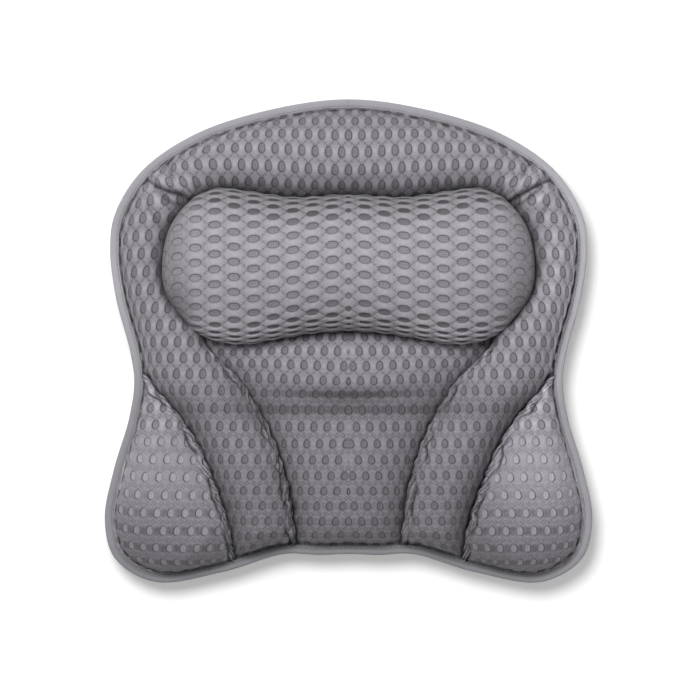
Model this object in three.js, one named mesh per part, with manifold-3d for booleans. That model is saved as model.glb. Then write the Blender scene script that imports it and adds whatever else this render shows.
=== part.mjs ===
// Bath pillow: a padded headrest that is held to the end of a bathtub by suction cups.
// It lies on its back: +Z points at the bather, +Y at the head end, and the cups' rims are at Z = 0.
// All sizes are in millimetres.
import * as THREE from "three";
import { mergeVertices } from "three/addons/utils/BufferGeometryUtils.js";
import Module from "manifold-3d";

const wasm = await Module();
wasm.setup();

// Overall size, over the edge binding
const WIDTH = 390;
const HEIGHT = 386;

// Cloth and clearances
const CLOTH = 1.6; // thickness of the spacer mesh cloth, sewn flat
const REST_GAP = 0.3; // between layers that lie on each other
const SEAM_GAP = 0.35; // from a seam line to the cloth on either side of it
const FILL_GAP = 0.8; // between a cover and its filling
const CUT_OVERRUN = 5; // how far a cutting solid runs past what it cuts

// Back panel
const BACK_BOTTOM = 21;

// Edge binding, a folded tape that takes in the edges of the back panel and the covers
const BINDING_WIDTH = 7;
const BINDING_WALL = 1.3;
const BINDING_ROUND = 1.6;
const BINDING_STEPS = 76; // round the whole outline
const TUCK = 1.9; // from the outline to the cloth edges inside the tape

// Pads of the base: the height of each crown above its sewn edge
const ARCH_RISE = 34;
const FULL_RISE_WIDTH = 62; // a pad that is narrower than this rises less
const CENTRE_RISE = 27;
const SHOULDER_RISE = 31;
const PAD_TAPER = 26; // how far from its ends a pad takes to reach its full height
const SEAM_FLANGE = 1; // flat edge of a cover along an inner seam, measured from the seam line
const EDGE_OVERRUN = 4; // how far a pad's edge is drawn past the line it is trimmed to
const TIP_WIDTH = 5; // a shoulder pad stops where it gets narrower than this
const TIP_NARROWING = 6; // how much wider its inside needs to be for each millimetre that it is drawn in
const CHANNEL_Y = -47; // soft channel across the centre pad
const CHANNEL_SPREAD = 10;
const CHANNEL_DEPTH = 4;
const CROWN_POWER = 2.3; // over 2, a crown is fuller than an ellipse
const END_BLEND = 45; // how far from its end a pad's rows bend to follow its end line
const SLANT_LIMIT = 0.5; // least sine of the angle between a row and an edge that widths allow for
const TAPER_STEP_SHARES = [0, 0.06, 0.25, 0.58]; // rows in a taper, as shares of it
const SEAM_STEPS = 16; // straight steps along a seam
const RIM_STEPS = 18; // straight steps along half the bolster's rim
const TRIM_TOLERANCE = 0.02; // how far a trimmed pad's faces may move when they are made fewer

// Neck bolster and the seat under it
const BOLSTER_LENGTH = 297;
const BOLSTER_DEPTH = 124;
const BOLSTER_CENTRE_Y = 59;
const BOLSTER_RISE = 61;
const BOLSTER_BELLY = 17; // height of its widest section above its underside
const BOLSTER_WAIST_DIP = 4; // how much lower the crown is at the middle
const BOLSTER_GAP = 1; // from the bolster to the arch round it
const BOLSTER_TUCK = 4.4; // how far the centre cover reaches under the bolster
const BOLSTER_MOUTH_LENGTH = 170; // opening in the cover's underside
const BOLSTER_MOUTH_DEPTH = 36;
const BOLSTER_ROWS = 20;
const BOLSTER_SIDES = 14;
const BOLSTER_END_POWER = 5; // the higher, the nearer to the ends its height is kept
const BOLSTER_FULLNESS = 0.85; // under 1, its cross-section is fuller than an ellipse
const BOLSTER_FLATNESS = 1.5; // over 1, its underside is flat
const SEAT_RISE = 13.6; // from the back panel to the top of the seat

// Suction cups
const CUP_RADIUS = 29;
const CUP_LIP = 3.4; // width of the flat rim
const CUP_LIP_THICKNESS = 1.4;
const CUP_WALL = 2.6;
const CUP_DOME_HEIGHT = 11.5;
const CUP_HOLLOW_HEIGHT = 6.5;
const CUP_NECK_RADIUS = 5.5;
const CUP_NECK_BOTTOM = 13;
const CUP_HEAD_RADIUS = 8.5;
const CUP_HEAD_BOTTOM = 16.6;
const CUP_HEAD_TOP = 20.2;
const CUP_SIDES = 24;
// Where the cup's curve is read: shares of its radius inside and outside, and of the hollow's height
const CUP_CURVE_SHARES = { inside: 0.45, outside: 0.5, height: 0.8 };

// Webbing tabs that hold the cups
const TAB_WIDTH = 26;
const TAB_THICKNESS = 1.5;
const TAB_BOTTOM = 14.1; // underside of the tab round the cup's neck
const TAB_HOLE_GAP = 0.45;
const TAB_END_REACH = 13; // from the cup's axis to the free end
const TAB_BEND_REACH = 15; // from the cup's axis to the bend
const TAB_FOLD_REACH = 27; // from the cup's axis to the line it folds about
const ANCHOR_LENGTH = 13; // sewn end of the webbing
const FOLD_GAP = 0.8; // between the sewn end and the folding part

// Levels that follow from the sizes above
const BACK_TOP = BACK_BOTTOM + CLOTH;
const COVER_BOTTOM = BACK_TOP + REST_GAP;
const EDGE_TOP = COVER_BOTTOM + CLOTH;
const SLOT_BOTTOM = BACK_BOTTOM - REST_GAP;
const SLOT_TOP = EDGE_TOP + REST_GAP;
const TAPE_TOP = SLOT_TOP + BINDING_WALL;
const SEAT_TOP = BACK_TOP + SEAT_RISE;
const BOLSTER_BOTTOM = SEAT_TOP + REST_GAP;
const OUTER_FLANGE = BINDING_WIDTH - TUCK + 2 * REST_GAP;
const PAD_TOP = EDGE_TOP + Math.max(ARCH_RISE, CENTRE_RISE, SHOULDER_RISE);

// Outlines as shares of half the width and half the height, from the top centre clockwise
const OUTLINE_SHARES = [
  [0, 1], [0.338, 0.953], [0.636, 0.852], [0.849, 0.702], [0.959, 0.523], [0.978, 0.378],
  [0.954, 0.176], [0.897, -0.041], [0.879, -0.166], [0.9, -0.321], [0.964, -0.539], [1, -0.741],
  [0.959, -0.902], [0.795, -1], [0.518, -0.96], [0.262, -0.885], [0.123, -0.889], [0, -0.885],
];
const BOLSTER_SHARES = [
  [0, 0.916], [0.304, 0.885], [0.568, 0.973], [0.696, 1], [0.834, 0.868], [0.957, 0.505],
  [1, 0], [0.979, -0.358], [0.907, -0.618], [0.834, -0.808], [0.747, -0.929], [0.581, -1],
  [0.385, -0.929], [0.204, -0.86], [0, -0.826],
];
// Seam between the centre pad and the arch's lower band, downwards from the bolster
const BAND_SEAM_SHARES = [
  [0.577, -0.026], [0.515, -0.096], [0.454, -0.153], [0.397, -0.238], [0.341, -0.337],
  [0.279, -0.479], [0.244, -0.622], [0.223, -0.751], [0.213, -0.87],
];
// Seam between the lower band and the shoulder pad, downwards from the binding
const SHOULDER_SEAM_SHARES = [
  [0.856, -0.124], [0.785, -0.204], [0.727, -0.266], [0.632, -0.397], [0.557, -0.568],
  [0.495, -0.74], [0.463, -0.926],
];
// Where the band seam leaves the bolster, as a share of the bolster's half length
const BAND_SEAM_START_SHARE = 0.8;

// Cup places as shares of half the width and half the height
const CUP_SHARES = [
  [-0.49, 0.61], [0.49, 0.61], [-0.66, 0.04], [0, 0.1], [0.66, 0.04], [-0.72, -0.7], [0.72, -0.7],
];

// Materials
const meshCloth = new THREE.MeshStandardMaterial({ color: 0x9a969b, roughness: 0.9, metalness: 0 });
const tapeCloth = new THREE.MeshStandardMaterial({ color: 0xa6a3a9, roughness: 0.85, metalness: 0 });
const webbing = new THREE.MeshStandardMaterial({ color: 0x7f7b82, roughness: 0.85, metalness: 0 });
const foam = new THREE.MeshStandardMaterial({ color: 0xe9e7e2, roughness: 0.95, metalness: 0 });
const clearVinyl = new THREE.MeshStandardMaterial({ color: 0xdfe6e8, roughness: 0.2, metalness: 0 });

// Paths in the plane of the pillow

const PATH_STEPS = 400;

// A run of points that can be read at a share of its length.
class Path {
  constructor(points) {
    this.points = points;
    this.reach = [0];
    for (let i = 1; i < points.length; i++) {
      this.reach.push(this.reach[i - 1] + points[i].distanceTo(points[i - 1]));
    }
    this.length = this.reach.at(-1);
  }

  // A share under 0 or over 1 is read on the straight line past that end.
  at(share) {
    const along = share * this.length;
    let i = 1;
    while (i < this.reach.length - 1 && this.reach[i] < along) i++;
    const part = (along - this.reach[i - 1]) / (this.reach[i] - this.reach[i - 1]);
    return this.points[i - 1].clone().lerp(this.points[i], part);
  }

  direction(share) {
    const step = 0.5 / PATH_STEPS;
    return this.at(share + step).sub(this.at(share - step)).normalize();
  }

  // The share of the length at the point that lies nearest to a place.
  nearest(place) {
    let best = 0;
    this.points.forEach((p, i) => {
      if (p.distanceTo(place) < this.points[best].distanceTo(place)) best = i;
    });
    return this.reach[best] / this.length;
  }
}

function scaled(shares, halfWidth, halfHeight, centreY = 0) {
  return shares.map(([x, y]) => new THREE.Vector2(x * halfWidth, centreY + y * halfHeight));
}

function mirrored(points) {
  return points.map((p) => new THREE.Vector2(-p.x, p.y));
}

function curveThrough(points, closed) {
  const flat = points.map((p) => new THREE.Vector3(p.x, p.y, 0));
  return new THREE.CatmullRomCurve3(flat, closed, "centripetal");
}

// A closed smooth curve through a right half and its mirror image.
function closedCurve(half) {
  return curveThrough([...half, ...mirrored(half).slice(1, -1).reverse()], true);
}

function openPath(points) {
  const curve = curveThrough(points, false);
  return new Path(curve.getPoints(PATH_STEPS).map((p) => new THREE.Vector2(p.x, p.y)));
}

// Points of a closed curve, from share a to share b of it, moved inwards. The curve runs clockwise.
function insetPoints(curve, inset, a, b, steps) {
  return Array.from({ length: steps + 1 }, (_, i) => {
    const t = a + ((b - a) * i) / steps;
    const p = curve.getPoint(t);
    const along = curve.getTangent(t);
    return new THREE.Vector2(p.x + along.y * inset, p.y - along.x * inset);
  });
}

// Points of a path, from one share of its length to another.
function stretch(path, from, to, steps = PATH_STEPS) {
  return Array.from({ length: steps + 1 }, (_, i) => path.at(from + ((to - from) * i) / steps));
}

// The y of the upper (side 1) or lower (side -1) edge of a right half outline, at a distance x.
function edgeOf(line, x, side) {
  const widest = line.points.reduce((best, p, i) => (p.x > line.points[best].x ? i : best), 0);
  const run = side > 0 ? line.points.slice(0, widest + 1) : line.points.slice(widest).reverse();
  const far = Math.min(Math.abs(x), run.at(-1).x);
  let i = 1;
  while (i < run.length - 1 && run[i].x < far) i++;
  const part = (far - run[i - 1].x) / (run[i].x - run[i - 1].x || 1);
  return run[i - 1].y + (run[i].y - run[i - 1].y) * part;
}

const halfWidth = WIDTH / 2;
const halfHeight = HEIGHT / 2;
const bolsterReach = BOLSTER_LENGTH / 2;
const outlineCurve = closedCurve(scaled(OUTLINE_SHARES, halfWidth, halfHeight));
const bolsterCurve = closedCurve(
  scaled(BOLSTER_SHARES, bolsterReach, BOLSTER_DEPTH / 2, BOLSTER_CENTRE_Y));

// Right halves, from the top centre down: the cloth edges inside the tape, the bolster, the arch round it
const tuckLine = new Path(insetPoints(outlineCurve, TUCK, 0, 0.5, PATH_STEPS));
const bolsterLine = new Path(insetPoints(bolsterCurve, 0, 0, 0.5, PATH_STEPS));
const bolsterRim = new Path(insetPoints(bolsterCurve, -BOLSTER_GAP, 0, 0.5, PATH_STEPS));

// The shoulder seam has both its ends on the tuck line.
const shoulderSeamPoints = scaled(SHOULDER_SEAM_SHARES, halfWidth, halfHeight);
const shoulderTop = tuckLine.nearest(shoulderSeamPoints[0]);
const shoulderBottom = tuckLine.nearest(shoulderSeamPoints.at(-1));
const shoulderSeam = openPath(
  [tuckLine.at(shoulderTop), ...shoulderSeamPoints.slice(1, -1), tuckLine.at(shoulderBottom)]);

// The band seam runs from the bolster's lower edge to the tuck line.
const bandSeamPoints = scaled(BAND_SEAM_SHARES, halfWidth, halfHeight);
const bandBottom = tuckLine.nearest(bandSeamPoints.at(-1));
const bandStartX = BAND_SEAM_START_SHARE * bolsterReach;
const bandStart = bolsterRim.nearest(new THREE.Vector2(bandStartX, edgeOf(bolsterLine, bandStartX, -1)));
const bandSeam = openPath(
  [bolsterRim.at(bandStart), ...bandSeamPoints.slice(0, -1), tuckLine.at(bandBottom)]);

// The base runs in under the bolster's lower edge, up to this y.
function seatLowerEdge(x) {
  const end = Math.min(Math.abs(x) / bandSeam.points[0].x, 1);
  return edgeOf(bolsterRim, x, -1) + (BOLSTER_TUCK + BOLSTER_GAP) * (1 - end ** 4);
}

const seatEdge = new Path(Array.from({ length: PATH_STEPS + 1 }, (_, i) => {
  const x = (bandSeam.points[0].x * i) / PATH_STEPS;
  return new THREE.Vector2(x, seatLowerEdge(x));
}));

function tuckLowerEdge(x) {
  return edgeOf(tuckLine, x, -1);
}

// Solids from points and faces

function geometryOf(points, faces) {
  const geometry = new THREE.BufferGeometry().setFromPoints(points);
  geometry.setIndex(faces);
  return geometry;
}

// A closed geometry over a grid of top points, with walls down past the underside of the base.
function blockUnderGrid(rows) {
  const width = rows[0].length;
  const last = rows.length - 1;
  const points = rows.flat();
  const rim = [
    ...rows[0].keys(),
    ...Array.from({ length: last }, (_, i) => (i + 2) * width - 1),
    ...Array.from({ length: width - 1 }, (_, j) => last * width + width - 2 - j),
    ...Array.from({ length: last - 1 }, (_, i) => (last - 1 - i) * width),
  ];
  const below = new Map(rim.map((k, i) => [k, points.length + i]));
  const low = (i, j) => below.get(i * width + j);
  const floor = rim.map((k) => new THREE.Vector3(points[k].x, points[k].y, COVER_BOTTOM - CUT_OVERRUN));
  const faces = [];
  for (let i = 0; i < last; i++) {
    for (let j = 0; j < width - 1; j++) {
      const [a, b, c, d] = [i * width + j, i * width + j + 1, (i + 1) * width + j + 1, (i + 1) * width + j];
      faces.push(a, b, c, a, c, d);
      if (i === 0) faces.push(low(0, j + 1), low(0, j), low(1, 0));
      if (i === last - 1) faces.push(low(i, 0), low(last, j), low(last, j + 1));
    }
    if (i > 0 && i < last - 1) faces.push(low(i, 0), low(i + 1, 0), low(i + 1, width - 1));
    if (i > 0) faces.push(low(i, 0), low(i + 1, width - 1), low(i, width - 1));
    else faces.push(low(0, width - 1), low(1, 0), low(1, width - 1));
  }
  rim.forEach((k, i) => {
    const next = rim[(i + 1) % rim.length];
    faces.push(k, below.get(k), below.get(next), k, below.get(next), next);
  });
  return geometryOf([...points, ...floor], faces);
}

// A closed geometry of loops of points, closed by a fan at each end point.
function blockOfLoops(start, loops, end) {
  const count = loops[0].length;
  const points = [start, ...loops.flat(), end];
  const faces = [];
  const at = (i, j) => 1 + i * count + (j % count);
  for (let j = 0; j < count; j++) {
    faces.push(0, at(0, j + 1), at(0, j));
    faces.push(points.length - 1, at(loops.length - 1, j), at(loops.length - 1, j + 1));
    for (let i = 0; i < loops.length - 1; i++) {
      faces.push(at(i, j), at(i, j + 1), at(i + 1, j + 1));
      faces.push(at(i, j), at(i + 1, j + 1), at(i + 1, j));
    }
  }
  return geometryOf(points, faces);
}

// A flat plate with an outline of points, from one height up to another.
function plateOf(points, bottom, top) {
  const options = { depth: top - bottom, bevelEnabled: false };
  return new THREE.ExtrudeGeometry(new THREE.Shape(points), options).translate(0, 0, bottom);
}

function solidOf(geometry) {
  const bare = geometry.clone();
  bare.deleteAttribute("normal");
  bare.deleteAttribute("uv");
  const merged = mergeVertices(bare);
  const vertProperties = new Float32Array(merged.attributes.position.array);
  const triVerts = new Uint32Array(merged.index.array);
  const made = new wasm.Manifold(new wasm.Mesh({ numProp: 3, vertProperties, triVerts }));
  if (made.volume() > 0) return made;
  return new wasm.Manifold(new wasm.Mesh({ numProp: 3, vertProperties, triVerts: triVerts.reverse() }));
}

function meshOf(name, solid, material) {
  const { vertProperties, triVerts } = solid.getMesh();
  const geometry = new THREE.BufferGeometry();
  geometry.setAttribute("position", new THREE.BufferAttribute(new Float32Array(vertProperties), 3));
  geometry.setIndex(new THREE.BufferAttribute(new Uint32Array(triVerts), 1));
  geometry.computeVertexNormals();
  const mesh = new THREE.Mesh(geometry, material);
  mesh.name = name;
  return mesh;
}

// Areas of the base, which its seams part

function rimPlate(inset, bottom, top) {
  return solidOf(plateOf(insetPoints(outlineCurve, inset, 0, 1, BINDING_STEPS).slice(0, -1), bottom, top));
}

// A thin upright wall along a seam, which keeps the pads on its two sides apart.
function seamWall(seam) {
  const line = new Path(seam);
  const side = (way) => line.points.map((p, i) => {
    const along = line.direction(line.reach[i] / line.length);
    return new THREE.Vector2(p.x - way * along.y * SEAM_GAP, p.y + way * along.x * SEAM_GAP);
  });
  const points = [...side(1), ...side(-1).reverse()];
  return solidOf(plateOf(points, COVER_BOTTOM - CUT_OVERRUN, PAD_TOP + CUT_OVERRUN));
}

// The room of the base, above the back panel and inside the tape, parted along every seam.
function baseAreas() {
  const past = 1 + EDGE_OVERRUN / bandSeam.length;
  const right = [
    stretch(bandSeam, 0, past, SEAM_STEPS),
    stretch(shoulderSeam, 1 - past, past, SEAM_STEPS),
    stretch(bolsterRim, 0, bandStart, RIM_STEPS),
    stretch(seatEdge, 0, 1, RIM_STEPS),
  ];
  const tapeRoom = rimPlate(-CUT_OVERRUN, SLOT_TOP, TAPE_TOP + REST_GAP)
    .subtract(rimPlate(BINDING_WIDTH + REST_GAP, SLOT_TOP - CUT_OVERRUN, PAD_TOP));
  const walls = [...right, ...right.map(mirrored)].map(seamWall);
  const room = rimPlate(TUCK, COVER_BOTTOM, PAD_TOP);
  return [tapeRoom, ...walls].reduce((rest, cut) => rest.subtract(cut), room).decompose();
}

const areas = baseAreas();

function areaAt(x, y) {
  const probe = solidOf(new THREE.BoxGeometry(SEAM_GAP, SEAM_GAP, SEAM_GAP).translate(x, y, SLOT_TOP));
  return areas.find((area) => !area.intersect(probe).isEmpty());
}

// The largest piece of a solid within an area.
function trimmed(solid, area) {
  const pieces = solid.intersect(area).decompose();
  const largest = pieces.reduce((best, piece) => (piece.volume() > best.volume() ? piece : best));
  return largest.simplify(TRIM_TOLERANCE);
}

// Pads of the base

// Shares from 0 to 1 that crowd towards both ends, as a round crown needs.
function crowded(count) {
  return Array.from({ length: count + 1 }, (_, i) => (1 - Math.cos((Math.PI * i) / count)) / 2);
}

// Shares from 0 to 1 with the tapers at both ends stepped finely.
function alongPad(count, taperShare) {
  const start = TAPER_STEP_SHARES.map((s) => s * taperShare);
  const step = (1 - 2 * taperShare) / count;
  const middle = Array.from({ length: count + 1 }, (_, i) => taperShare + step * i);
  return [...start, ...middle, ...start.map((s) => 1 - s).reverse()];
}

function crown(share) {
  return Math.sqrt(Math.max(0, 1 - Math.abs(2 * share - 1) ** CROWN_POWER));
}

function taper(distance) {
  const left = 1 - Math.min(Math.max(distance / PAD_TAPER, 0), 1);
  return Math.sqrt(1 - left ** 2);
}

// A pad runs between two edges, first and second, which are read at the same share of their lengths.
// Near its ends its rows bend to follow endLines, which give y at an x.
// grid() is its top surface: shrink draws it in by a thickness, and flange adds the flat sewn edge.
class Pad {
  constructor(form) {
    Object.assign(this, { ends: () => [0, 1], endLines: [] }, form);
    this.length = (this.first.length + this.second.length) / 2;
  }

  bend(share, x) {
    return this.endLines.reduce((sum, line, end) => {
      const [a, b] = [this.first.at(end), this.second.at(end)];
      const near = Math.min(Math.max(1 - (Math.abs(share - end) * this.length) / END_BLEND, 0), 1);
      const straight = a.y + ((b.y - a.y) * (x - a.x)) / (b.x - a.x);
      return sum + near ** 2 * (line(x) - straight);
    }, 0);
  }

  row(share, lift, shrink, flange) {
    const a = this.first.at(share);
    const across = this.second.at(share).sub(a);
    const span = across.length();
    across.normalize();
    const place = (distance, height) => {
      const p = a.clone().addScaledVector(across, distance);
      return new THREE.Vector3(p.x, p.y + this.bend(share, p.x), height);
    };
    const slants = [this.first, this.second].map(
      (edge) => 1 / Math.max(Math.abs(across.cross(edge.direction(share))), SLANT_LIMIT));
    const flanges = this.flanges(share).map((size, k) => Math.min(size * slants[k], span / 3));
    const padSpan = span - flanges[0] - flanges[1];
    const start = shrink * slants[0];
    const end = padSpan - shrink * slants[1];
    const points = crowded(this.across).map((f) => {
      const distance = start + f * (end - start);
      const height = this.rise(share, padSpan, place(flanges[0] + distance, 0)) * lift;
      return place(flanges[0] + distance, EDGE_TOP + height * crown(f) - shrink);
    });
    if (!flange) return points;
    return [place(-EDGE_OVERRUN, EDGE_TOP), ...points, place(span + EDGE_OVERRUN, EDGE_TOP)];
  }

  grid(shrink, flange) {
    const [from, to] = this.ends(shrink);
    const start = from + this.endFlanges[0] / this.length;
    const end = to - this.endFlanges[1] / this.length;
    const inset = shrink / this.length;
    const rows = alongPad(this.along, PAD_TAPER / this.length / (end - start)).map((g) => {
      const share = start + inset + g * (end - start - 2 * inset);
      const toEnd = Math.min(share - start, end - share) * this.length - shrink;
      return this.row(share, taper(toEnd), shrink, flange);
    });
    const past = EDGE_OVERRUN / this.length;
    return flange
      ? [this.row(from - past, 0, 0, true), ...rows, this.row(to + past, 0, 0, true)]
      : rows;
  }

  cover(area) {
    const inside = solidOf(blockUnderGrid(this.grid(CLOTH, false)));
    return trimmed(solidOf(blockUnderGrid(this.grid(0, true))).subtract(inside), area);
  }

  filling(area) {
    return trimmed(solidOf(blockUnderGrid(this.grid(CLOTH + FILL_GAP, false))), area);
  }
}

// The arch runs from the bottom left, up and round the bolster, and down to the bottom right.
function archPad() {
  const innerRight = [...stretch(bolsterRim, 0, bandStart), ...bandSeam.points.slice(1)];
  const outerRight = [...stretch(tuckLine, 0, shoulderTop), ...shoulderSeam.points.slice(1)];
  const whole = (right) => new Path([...mirrored(right).reverse(), ...right.slice(1)]);
  const outer = whole(outerRight);
  const apex = (shoulderTop * tuckLine.length) / outer.length;
  return new Pad({
    first: whole(innerRight),
    second: outer,
    flanges: (share) => {
      const past = (Math.abs(share - 1 / 2) - apex) * outer.length;
      const left = 1 - Math.min(Math.max(past / OUTER_FLANGE / 2, 0), 1);
      return [SEAM_FLANGE, SEAM_FLANGE + (OUTER_FLANGE - SEAM_FLANGE) * left];
    },
    endFlanges: [OUTER_FLANGE, OUTER_FLANGE],
    endLines: [tuckLowerEdge, tuckLowerEdge],
    rise: (share, span) => ARCH_RISE * Math.min(1, span / FULL_RISE_WIDTH) ** 0.5,
    along: 35,
    across: 6,
  });
}

// The centre pad runs up from the bottom edge and in under the bolster.
function centrePad() {
  const right = new Path([...bandSeam.points].reverse());
  return new Pad({
    first: new Path(mirrored(right.points)),
    second: right,
    flanges: () => [SEAM_FLANGE, SEAM_FLANGE],
    endFlanges: [OUTER_FLANGE, 2 * SEAM_FLANGE],
    endLines: [tuckLowerEdge, seatLowerEdge],
    rise: (share, span, place) => {
      const off = (place.y - CHANNEL_Y) / CHANNEL_SPREAD;
      return CENTRE_RISE - CHANNEL_DEPTH * Math.exp(-(off ** 2));
    },
    along: 13,
    across: 7,
  });
}

// A shoulder pad lies between the shoulder seam and the outline; side is 1 on the right and -1 on the left.
function shoulderPad(side) {
  const turn = (points) => new Path(side > 0 ? points : mirrored(points));
  const seam = turn(shoulderSeam.points);
  const edge = turn(stretch(tuckLine, shoulderTop, shoulderBottom));
  const wideAt = (share, width) => seam.at(share).distanceTo(edge.at(share)) > width;
  const shares = Array.from({ length: PATH_STEPS }, (_, i) => i / PATH_STEPS);
  const widerThan = (width) => shares.filter((share) => wideAt(share, width));
  return new Pad({
    first: seam,
    second: edge,
    ends: (shrink) => [0, -1].map((k) => widerThan(TIP_WIDTH + TIP_NARROWING * shrink).at(k)),
    flanges: () => [SEAM_FLANGE, OUTER_FLANGE],
    endFlanges: [SEAM_FLANGE, 2 * SEAM_FLANGE],
    rise: (share, span) => SHOULDER_RISE * Math.min(1, span / FULL_RISE_WIDTH) ** 0.5,
    along: 13,
    across: 6,
  });
}

// Neck bolster

function bolsterBlock(shrink) {
  const reach = bolsterReach;
  const narrow = 1 - shrink / (BOLSTER_DEPTH / 2);
  const belly = BOLSTER_BOTTOM + BOLSTER_BELLY;
  const loop = (angle) => {
    const x = reach * Math.sin(angle);
    const upper = edgeOf(bolsterLine, x, 1);
    const lower = edgeOf(bolsterLine, x, -1);
    const end = Math.sqrt(Math.max(0, 1 - Math.abs(Math.sin(angle)) ** BOLSTER_END_POWER));
    const top = BOLSTER_RISE - BOLSTER_BELLY - BOLSTER_WAIST_DIP * Math.cos(angle) ** 4 - shrink;
    const under = (BOLSTER_BELLY - shrink) * Math.min(1, BOLSTER_FLATNESS * end);
    return Array.from({ length: BOLSTER_SIDES }, (_, j) => {
      const turn = (2 * Math.PI * j) / BOLSTER_SIDES;
      const across = Math.cos(turn) * narrow;
      const up = Math.sin(turn);
      const y = (upper + lower) / 2 + (across * (upper - lower)) / 2;
      const z = up > 0 ? top * end * up ** BOLSTER_FULLNESS : under * Math.max(-1, BOLSTER_FLATNESS * up);
      return new THREE.Vector3((x * (reach - shrink)) / reach, y, belly + z);
    });
  };
  const angles = Array.from({ length: BOLSTER_ROWS - 1 }, (_, i) => Math.PI * ((i + 1) / BOLSTER_ROWS - 0.5));
  const tipY = edgeOf(bolsterLine, reach, 1);
  const tip = (side) => new THREE.Vector3(side * (reach - shrink), tipY, belly);
  return solidOf(blockOfLoops(tip(-1), angles.map(loop), tip(1)));
}

function bolsterCover() {
  const mouth = new THREE.EllipseCurve(
    0, BOLSTER_CENTRE_Y, BOLSTER_MOUTH_LENGTH / 2, BOLSTER_MOUTH_DEPTH / 2, 0, 2 * Math.PI);
  const cutTop = BOLSTER_BOTTOM + 2 * CLOTH;
  const cut = plateOf(mouth.getPoints(BOLSTER_SIDES), BOLSTER_BOTTOM - CUT_OVERRUN, cutTop);
  return bolsterBlock(0).subtract(bolsterBlock(CLOTH)).subtract(solidOf(cut));
}

// The flat part of the base under the bolster
function seatSlab(bottom, top) {
  const slab = new THREE.BoxGeometry(2 * WIDTH, 2 * HEIGHT, top - bottom);
  return solidOf(slab.translate(0, 0, (bottom + top) / 2)).intersect(areaAt(0, BOLSTER_CENTRE_Y));
}

// Back panel and edge binding

function edgeBinding() {
  const bottom = SLOT_BOTTOM - BINDING_WALL;
  const top = TAPE_TOP;
  const round = BINDING_ROUND;
  const profile = [
    [BINDING_WIDTH, top], [round, top], [round / 4, top - round / 2], [0, top - 1.5 * round],
    [0, bottom + 1.5 * round], [round / 4, bottom + round / 2], [round, bottom], [BINDING_WIDTH, bottom],
    [BINDING_WIDTH, SLOT_BOTTOM], [BINDING_WALL, SLOT_BOTTOM],
    [BINDING_WALL, SLOT_TOP], [BINDING_WIDTH, SLOT_TOP],
  ];
  const rings = profile.map(([inset]) => insetPoints(outlineCurve, inset, 0, 1, BINDING_STEPS));
  const points = [];
  const faces = [];
  for (let i = 0; i < BINDING_STEPS; i++) {
    profile.forEach(([, z], j) => {
      points.push(new THREE.Vector3(rings[j][i].x, rings[j][i].y, z));
      const at = (a, b) => (a % BINDING_STEPS) * profile.length + (b % profile.length);
      faces.push(at(i, j), at(i, j + 1), at(i + 1, j + 1), at(i, j), at(i + 1, j + 1), at(i + 1, j));
    });
  }
  return solidOf(geometryOf(points, faces));
}

// Suction cups and the webbing tabs that hold them

function suctionCup() {
  const curve = CUP_CURVE_SHARES;
  const profile = [
    [0, CUP_HOLLOW_HEIGHT], [CUP_RADIUS * curve.inside, CUP_HOLLOW_HEIGHT * curve.height],
    [CUP_RADIUS - CUP_LIP, 0], [CUP_RADIUS, 0], [CUP_RADIUS, CUP_LIP_THICKNESS],
    [CUP_RADIUS - CUP_LIP, CUP_LIP_THICKNESS + CUP_WALL / 2],
    [CUP_RADIUS * curve.outside, CUP_HOLLOW_HEIGHT * curve.height + CUP_WALL],
    [CUP_NECK_RADIUS + CUP_WALL, CUP_DOME_HEIGHT], [CUP_NECK_RADIUS, CUP_NECK_BOTTOM],
    [CUP_NECK_RADIUS, CUP_HEAD_BOTTOM], [CUP_HEAD_RADIUS, CUP_HEAD_BOTTOM],
    [CUP_HEAD_RADIUS, (CUP_HEAD_BOTTOM + CUP_HEAD_TOP) / 2],
    [CUP_NECK_RADIUS, CUP_HEAD_TOP], [0, CUP_HEAD_TOP],
  ];
  const lathe = new THREE.LatheGeometry(profile.map(([r, z]) => new THREE.Vector2(r, z)), CUP_SIDES);
  return solidOf(lathe.rotateX(Math.PI / 2));
}

// The folding part of the webbing, with the buttonhole that the cup's neck sits in.
function cupTab() {
  const half = TAB_WIDTH / 2;
  const flat = new THREE.Shape();
  flat.moveTo(half, TAB_BEND_REACH);
  flat.lineTo(-half, TAB_BEND_REACH);
  flat.lineTo(-half, 0);
  flat.absarc(0, 0, TAB_END_REACH, Math.PI, 2 * Math.PI, false);
  const options = { depth: TAB_THICKNESS, bevelEnabled: false, curveSegments: 12 };
  const plate = new THREE.ExtrudeGeometry(flat, options).translate(0, 0, TAB_BOTTOM);
  const fold = BACK_BOTTOM - REST_GAP - TAB_THICKNESS;
  const side = new THREE.Shape([
    new THREE.Vector2(TAB_BEND_REACH - TAB_THICKNESS, TAB_BOTTOM),
    new THREE.Vector2(TAB_BEND_REACH, TAB_BOTTOM),
    new THREE.Vector2(TAB_FOLD_REACH - FOLD_GAP, fold),
    new THREE.Vector2(TAB_FOLD_REACH - FOLD_GAP, fold + TAB_THICKNESS),
    new THREE.Vector2(TAB_BEND_REACH - TAB_THICKNESS, TAB_BOTTOM + TAB_THICKNESS),
  ]);
  const riser = new THREE.ExtrudeGeometry(side, { depth: TAB_WIDTH, bevelEnabled: false })
    .rotateX(Math.PI / 2).rotateZ(Math.PI / 2).translate(-half, 0, 0);
  const hole = new THREE.CylinderGeometry(
    CUP_NECK_RADIUS + TAB_HOLE_GAP, CUP_NECK_RADIUS + TAB_HOLE_GAP, 2 * CUT_OVERRUN, CUP_SIDES);
  hole.rotateX(Math.PI / 2).translate(0, 0, TAB_BOTTOM);
  return solidOf(plate).add(solidOf(riser)).subtract(solidOf(hole));
}

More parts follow.
